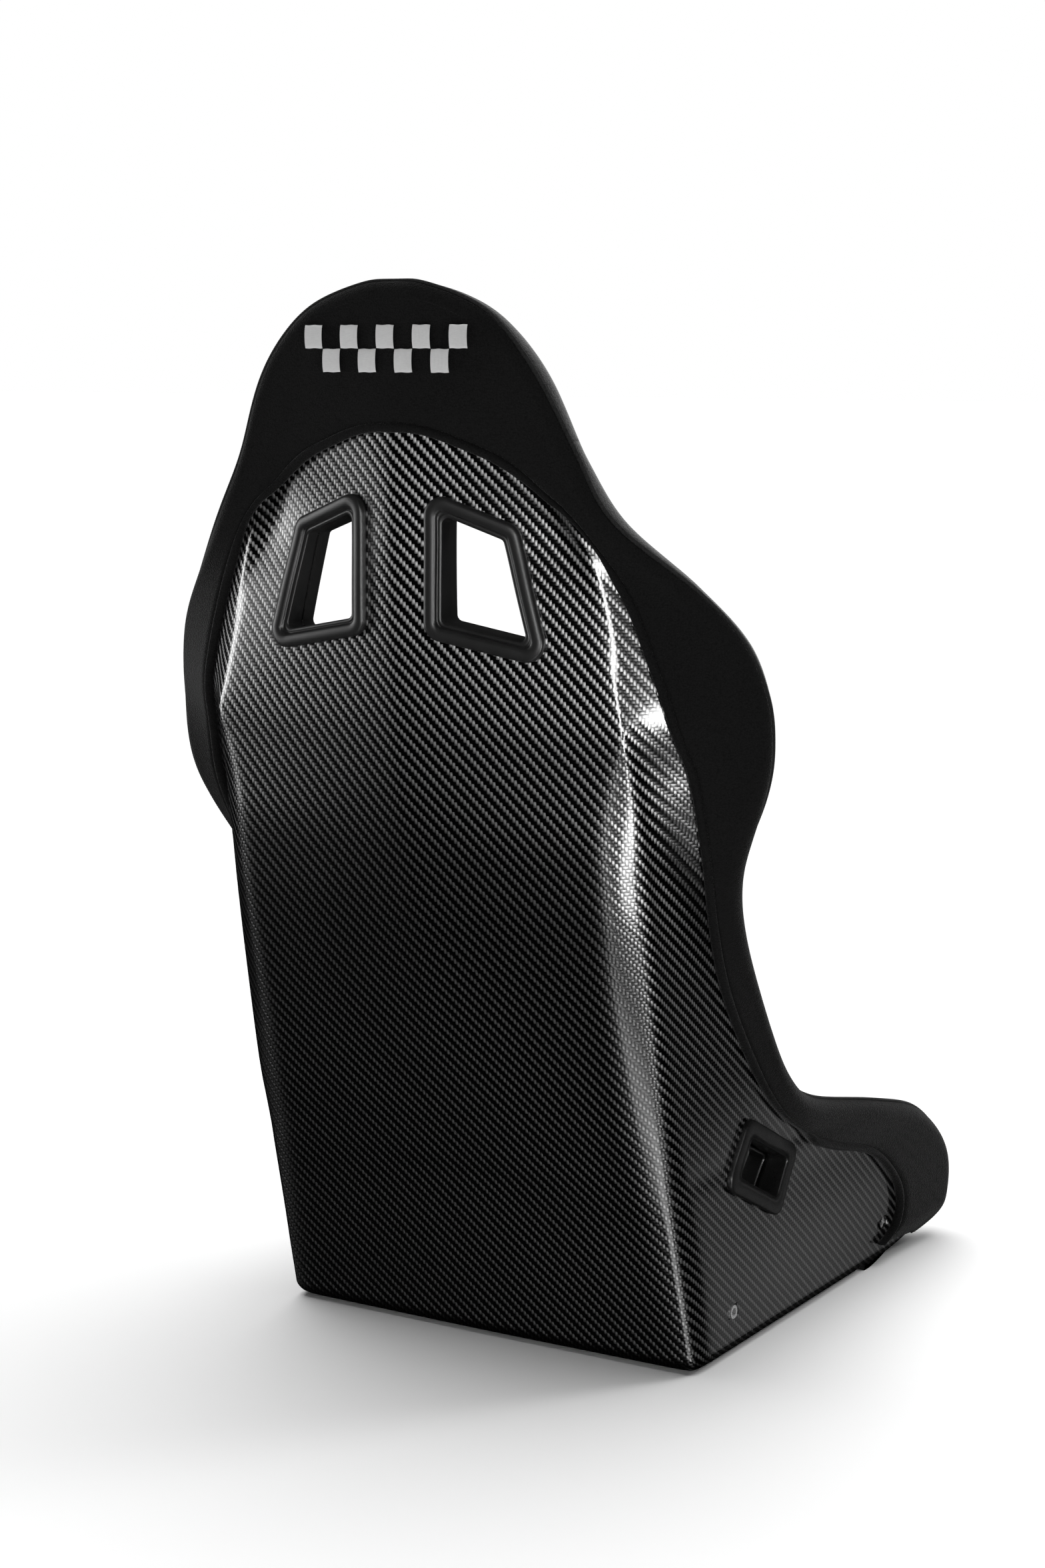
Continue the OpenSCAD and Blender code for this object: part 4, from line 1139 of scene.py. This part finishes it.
def lumbar():
    """The loose cushion in the small of the back."""
    a, b = np.linspace(0, 1, 40)[:, None], np.linspace(-1, 1, 40)[None]
    v = 5.4 + 3.8 * a + 0 * b
    depth = 2.0 + 20 * (0.3 + 0.7 * crown(a, 4) * (1 - b ** 4))
    face = on_back(v, 0.78 * b + 0 * a, depth)
    back = on_back(v, 0.78 * b[:, ::-1] + 0 * a, np.full(v.shape, 2.0))
    pad("lumbar_cushion_knit", np.concatenate([face, back], 1), "lumbar_cushion", body=LUMBAR_PAD, voxel=4,
        pressure=4, cap=7, held=back_rest, lines=[(lambda p: np.abs(p[:, 0]) - 52, 2.4, 2.6)])


SEAT_FRONT_Y, SEAT_BOTTOM, SEAT_HALF, SEAT_CORNER, SEAT_FLARE, SEAT_T = -119, 6.6, 156, 42, 16, 52
NOTCH_HALF, NOTCH_DEPTH = 52, 34


def seat():
    """The seat cushion, lifted off upwards: rounded at the rear, notched at the front for the strap."""
    x = np.unique(np.concatenate([np.linspace(0, NOTCH_HALF - 1, 14), np.linspace(NOTCH_HALF, SEAT_HALF, 26),
                                  np.linspace(SEAT_HALF, SEAT_HALF + SEAT_FLARE, 8)]))
    x = np.concatenate([-x[:0:-1], x])
    a, square = np.abs(x), SEAT_HALF - SEAT_CORNER
    rear = np.where(a <= square, 166, 124 + np.sqrt(np.maximum(SEAT_CORNER ** 2 - (a - square) ** 2, 0)))
    rear = np.where(a > SEAT_HALF, 124 - (a - SEAT_HALF) / SEAT_FLARE * 190, rear)
    front = SEAT_FRONT_Y + np.where(a < NOTCH_HALF, NOTCH_DEPTH, 0)
    side = 1 - (a / (SEAT_HALF + SEAT_FLARE)) ** 5
    low = SEAT_BOTTOM + 0.6 * (x / SEAT_HALF) ** 2
    e = np.concatenate([[0, 0.01, 0.03, 0.07], np.linspace(0.12, 0.88, 24), [0.93, 0.97, 0.99, 1]])
    y = rear[:, None] + (front - rear)[:, None] * e
    top = SEAT_BOTTOM + SEAT_T * (0.7 + 0.3 * crown(e, 4)[None] * side[:, None]) + 7 * e[None] ** 2
    under = rear[:, None] + (front - rear)[:, None] * e[::-1]
    across = np.broadcast_to(x[:, None], y.shape)
    upper = np.stack([across, y, top], -1)
    lower = np.stack([across, under, np.broadcast_to(low[:, None], y.shape)], -1)
    bars = [(lambda p, y0=y0: p[:, 1] - y0 + 0.0008 * p[:, 0] ** 2, 2.8, 3.2)
            for y0 in (112, 58, 4, -50)]
    pad("seat_cushion_knit", np.concatenate([upper, lower], 1), "seat_cushion", body=SEAT_PAD, voxel=5,
        pressure=4, cap=8, held=lambda p, n: n[:, 2] < -0.3, facing=(0, 0, 1),
        lines=[(lambda p: np.abs(p[:, 0]) - 100, 2.8, 3.4)] + bars)


# Section of the leg cushion, y and z: over the top, round the nose and back over the shell's front lip.
LEG_OUTLINE = [(-120, 9.5), (-120, 64), (-132, 74), (-160, 84), (-195, 94), (-228, 99), (-250, 96),
               (-261, 86), (-264, 70), (-263, 48), (-257, 32), (-248, 27), (-243, 30), (-241.5, 52),
               (-242.5, 77), (-233, 78), (-229.5, 52), (-221, 38), (-206, 27), (-186, 18), (-160, 11.5),
               (-140, 9)]


LEG_HALF = 181


def leg():
    """The leg cushion: one section carried across the seat, its top falling a little towards the sides."""
    outline = np.array(LEG_OUTLINE, float)
    closed = np.concatenate([outline, outline[:1]])
    fine = np.concatenate([smooth(np.concatenate([outline[-1:], closed, outline[1:2]]),
                                  np.linspace(k, k + 1, 5)[:-1]) for k in range(1, len(closed))])
    b = np.concatenate([[-1, -0.985, -0.96], np.linspace(-0.92, 0.92, 50), [0.96, 0.985, 1]])
    rings = np.zeros((len(b), len(fine), 3))
    rings[..., 0] = b[:, None] * LEG_HALF
    rings[..., 1] = fine[None, :, 0]
    k = 1 - 0.13 * np.abs(b) ** 6
    lowered = 60 + (fine[None, :, 1] - 60) * k[:, None]
    rings[..., 2] = np.where(fine[None, :, 1] > 60, lowered, fine[None, :, 1])
    pad("leg_cushion_knit", rings, "leg_cushion", voxel=4, pressure=3, cap=3.5, facing=(0, -0.5, 0.85),
        held=lambda p, n: (n[:, 2] < 0.25) & (p[:, 1] > -243) | (p[:, 1] > -124),
        lines=[(lambda p: np.abs(p[:, 0]) - 100, 2.6, 3.0), (lambda p: p[:, 1] + 190, 2.6, 2.6)])


side_bolsters()
head_edge()
wide_pads()
lumbar()
seat()
leg()

# ---------------------------------------------------------------- embroidery, strips and metal

MOTIF_W, MOTIF_H, MOTIF_COLUMNS, MOTIF_Z = 150, 36, 9, 828
MOTIF_Y, MOTIF_RISE, MOTIF_THREADS = 348.6, 2.2, 22


def motif():
    """Satin-stitched squares: each is a row of upright threads, rounded over the padding."""
    w, h = MOTIF_W / MOTIF_COLUMNS, MOTIF_H / 2
    verts, faces = [], []
    for i in range(MOTIF_COLUMNS):
        x0 = -MOTIF_W / 2 + i * w + 0.3
        z0 = MOTIF_Z + (0.2 if i % 2 == 0 else -h)
        for t in range(MOTIF_THREADS):
            x = x0 + (w - 0.6) * (t + 0.5) / MOTIF_THREADS
            half = (w - 0.6) / MOTIF_THREADS * 0.52
            ragged = 0.16 * math.sin(t * 12.9898 + i * 78.233)
            z = np.linspace(z0 + ragged, z0 + h - 0.2 + ragged, 9)
            swell = np.sin(np.linspace(0.12, math.pi - 0.12, 9)) ** 0.35
            start = len(verts)
            for zz, s in zip(z, swell):
                for a in np.linspace(0, 2 * math.pi, 6, endpoint=False):
                    y = MOTIF_Y + MOTIF_RISE * s + half * math.sin(a)
                    verts.append((x + half * math.cos(a), y, zz))
            faces += [tuple(start + f for f in face) for face in ring_faces(9, 6)]
    outward(new_piece("head_motif_stitching", verts, faces, THREAD, slot="embroidery",
                      replaces=["head_motif"]))


motif()

CARRIED_OVER = {
    "shell_loop_strips": LOOPS,
    "seat_hook_strips": HOOKS,
    "lumbar_hook_strips": HOOKS,
    "mount_plate_left": ALUMINIUM,
    "mount_plate_right": ALUMINIUM,
    "mount_inserts": STEEL,
}
for name, material in CARRIED_OVER.items():
    mesh = frame["nodes"][name].data
    mesh.materials.clear()
    mesh.materials.append(material)

# ---------------------------------------------------------------- stage, camera and light


def make_floor():
    mesh = bpy.data.meshes.new("studio_floor")
    size = 40.0
    corners = [(-size, -size, 0), (size, -size, 0), (size, size, 0), (-size, size, 0)]
    mesh.from_pydata(corners, [], [(0, 1, 2, 3)])
    mesh.materials.append(floor_material())
    floor = bpy.data.objects.new("studio_floor", mesh)
    floor.visible_glossy = floor.visible_shadow = False
    bpy.context.scene.collection.objects.link(floor)


def make_camera():
    """Behind the seat on the occupant's right, as in the photo."""
    data = bpy.data.cameras.new("camera")
    data.lens, data.sensor_width = 66.28, 36.0
    camera = bpy.data.objects.new("camera", data)
    camera.location = (-1.25390, 2.19989, 0.82866)
    camera.rotation_mode = "QUATERNION"
    camera.rotation_quaternion = Vector((0.51561, -0.84370, -0.14942)).to_track_quat("-Z", "Y")
    bpy.context.scene.collection.objects.link(camera)
    bpy.context.scene.camera = camera


def softbox(name, place, target, size, watts, glossy=True, soft=1.0):
    """A rectangular light whose face fades towards its edges."""
    data = bpy.data.lights.new(name, "AREA")
    data.shape, data.size, data.size_y, data.energy = "RECTANGLE", size[0], size[1], watts
    data.use_nodes = True
    tree = data.node_tree

    def math_node(operation, *values):
        node = tree.nodes.new("ShaderNodeMath")
        node.operation = operation
        for k, value in enumerate(values):
            if isinstance(value, bpy.types.NodeSocket):
                tree.links.new(value, node.inputs[k])
            else:
                node.inputs[k].default_value = value
        return node.outputs[0]

    face = tree.nodes.new("ShaderNodeSeparateXYZ")
    tree.links.new(tree.nodes.new("ShaderNodeNewGeometry").outputs["Parametric"], face.inputs[0])
    sides = [math_node("SINE", math_node("MULTIPLY", face.outputs[k], math.pi)) for k in ("X", "Y")]
    fade = math_node("POWER", math_node("MAXIMUM", math_node("MULTIPLY", *sides), 0.0), soft)
    tree.links.new(fade, tree.nodes["Emission"].inputs["Strength"])
    light = bpy.data.objects.new(name, data)
    light.location = place
    light.rotation_mode = "QUATERNION"
    light.rotation_quaternion = (Vector(target) - Vector(place)).to_track_quat("-Z", "Y")
    light.visible_glossy, light.visible_diffuse = glossy, not glossy
    bpy.context.scene.collection.objects.link(light)


def make_light():
    """Soft light from above and from the front, and softboxes that show only as reflections."""
    world = bpy.data.worlds.new("studio")
    world.use_nodes = True
    tree = world.node_tree
    ambient = tree.nodes["Background"]
    ambient.inputs["Color"].default_value = grey(1.0)
    ambient.inputs["Strength"].default_value = 0.05
    backdrop = tree.nodes.new("ShaderNodeBackground")
    backdrop.inputs["Color"].default_value = grey(1.0)
    seen = tree.nodes.new("ShaderNodeLightPath").outputs["Is Camera Ray"]
    mix = tree.nodes.new("ShaderNodeMixShader")
    for k, socket in enumerate((seen, ambient.outputs[0], backdrop.outputs[0])):
        tree.links.new(socket, mix.inputs[k])
    tree.links.new(mix.outputs[0], tree.nodes["World Output"].inputs["Surface"])
    world.cycles_visibility.glossy = False
    bpy.context.scene.world = world
    bpy.context.scene.view_settings.view_transform = "Standard"

    data = bpy.data.lights.new("overhead", "SUN")
    data.energy, data.angle = 3.5, math.radians(75)
    overhead = bpy.data.objects.new("overhead", data)
    overhead.rotation_mode = "QUATERNION"
    overhead.rotation_quaternion = Vector((-0.18, 0.20, -1.0)).to_track_quat("-Z", "Y")
    overhead.visible_glossy = False
    bpy.context.scene.collection.objects.link(overhead)

    # Left and centre of the back, both ridges, the patch by the right wing, then the low corner.
    softbox("left_box", (3.45, 1.55, 0.75), (0.0, 0.3, 0.6), (1.2, 2.4), 94, soft=1.3)
    softbox("haze_box", (3.0, 2.15, 0.75), (0.0, 0.3, 0.6), (1.0, 0.9), 4, soft=1.0)
    softbox("ridge_box", (-1.25, 3.1, 0.80), (0.0, 0.3, 0.5), (0.8, 1.6), 112, soft=1.1)
    softbox("patch_box", (-2.60, 1.94, -0.07), (-0.2, 0.3, 0.55), (0.75, 1.6), 150, soft=1.2)
    softbox("low_box", (-0.75, 1.25, -0.85), (-0.16, 0.23, 0.1), (1.0, 0.8), 9, soft=1.2)
    # The only softbox that lights the fabric: the tops of the thigh supports, from the front.
    softbox("front_box", (-2.2, -2.2, 2.2), (-0.25, -0.2, 0.2), (1.4, 1.4), 85, glossy=False)
    softbox("side_box", (-1.3, -2.05, -0.8), (-0.2, 0.1, 0.1), (1.1, 0.7), 0.7, soft=1.2)


make_floor()
make_camera()
make_light()
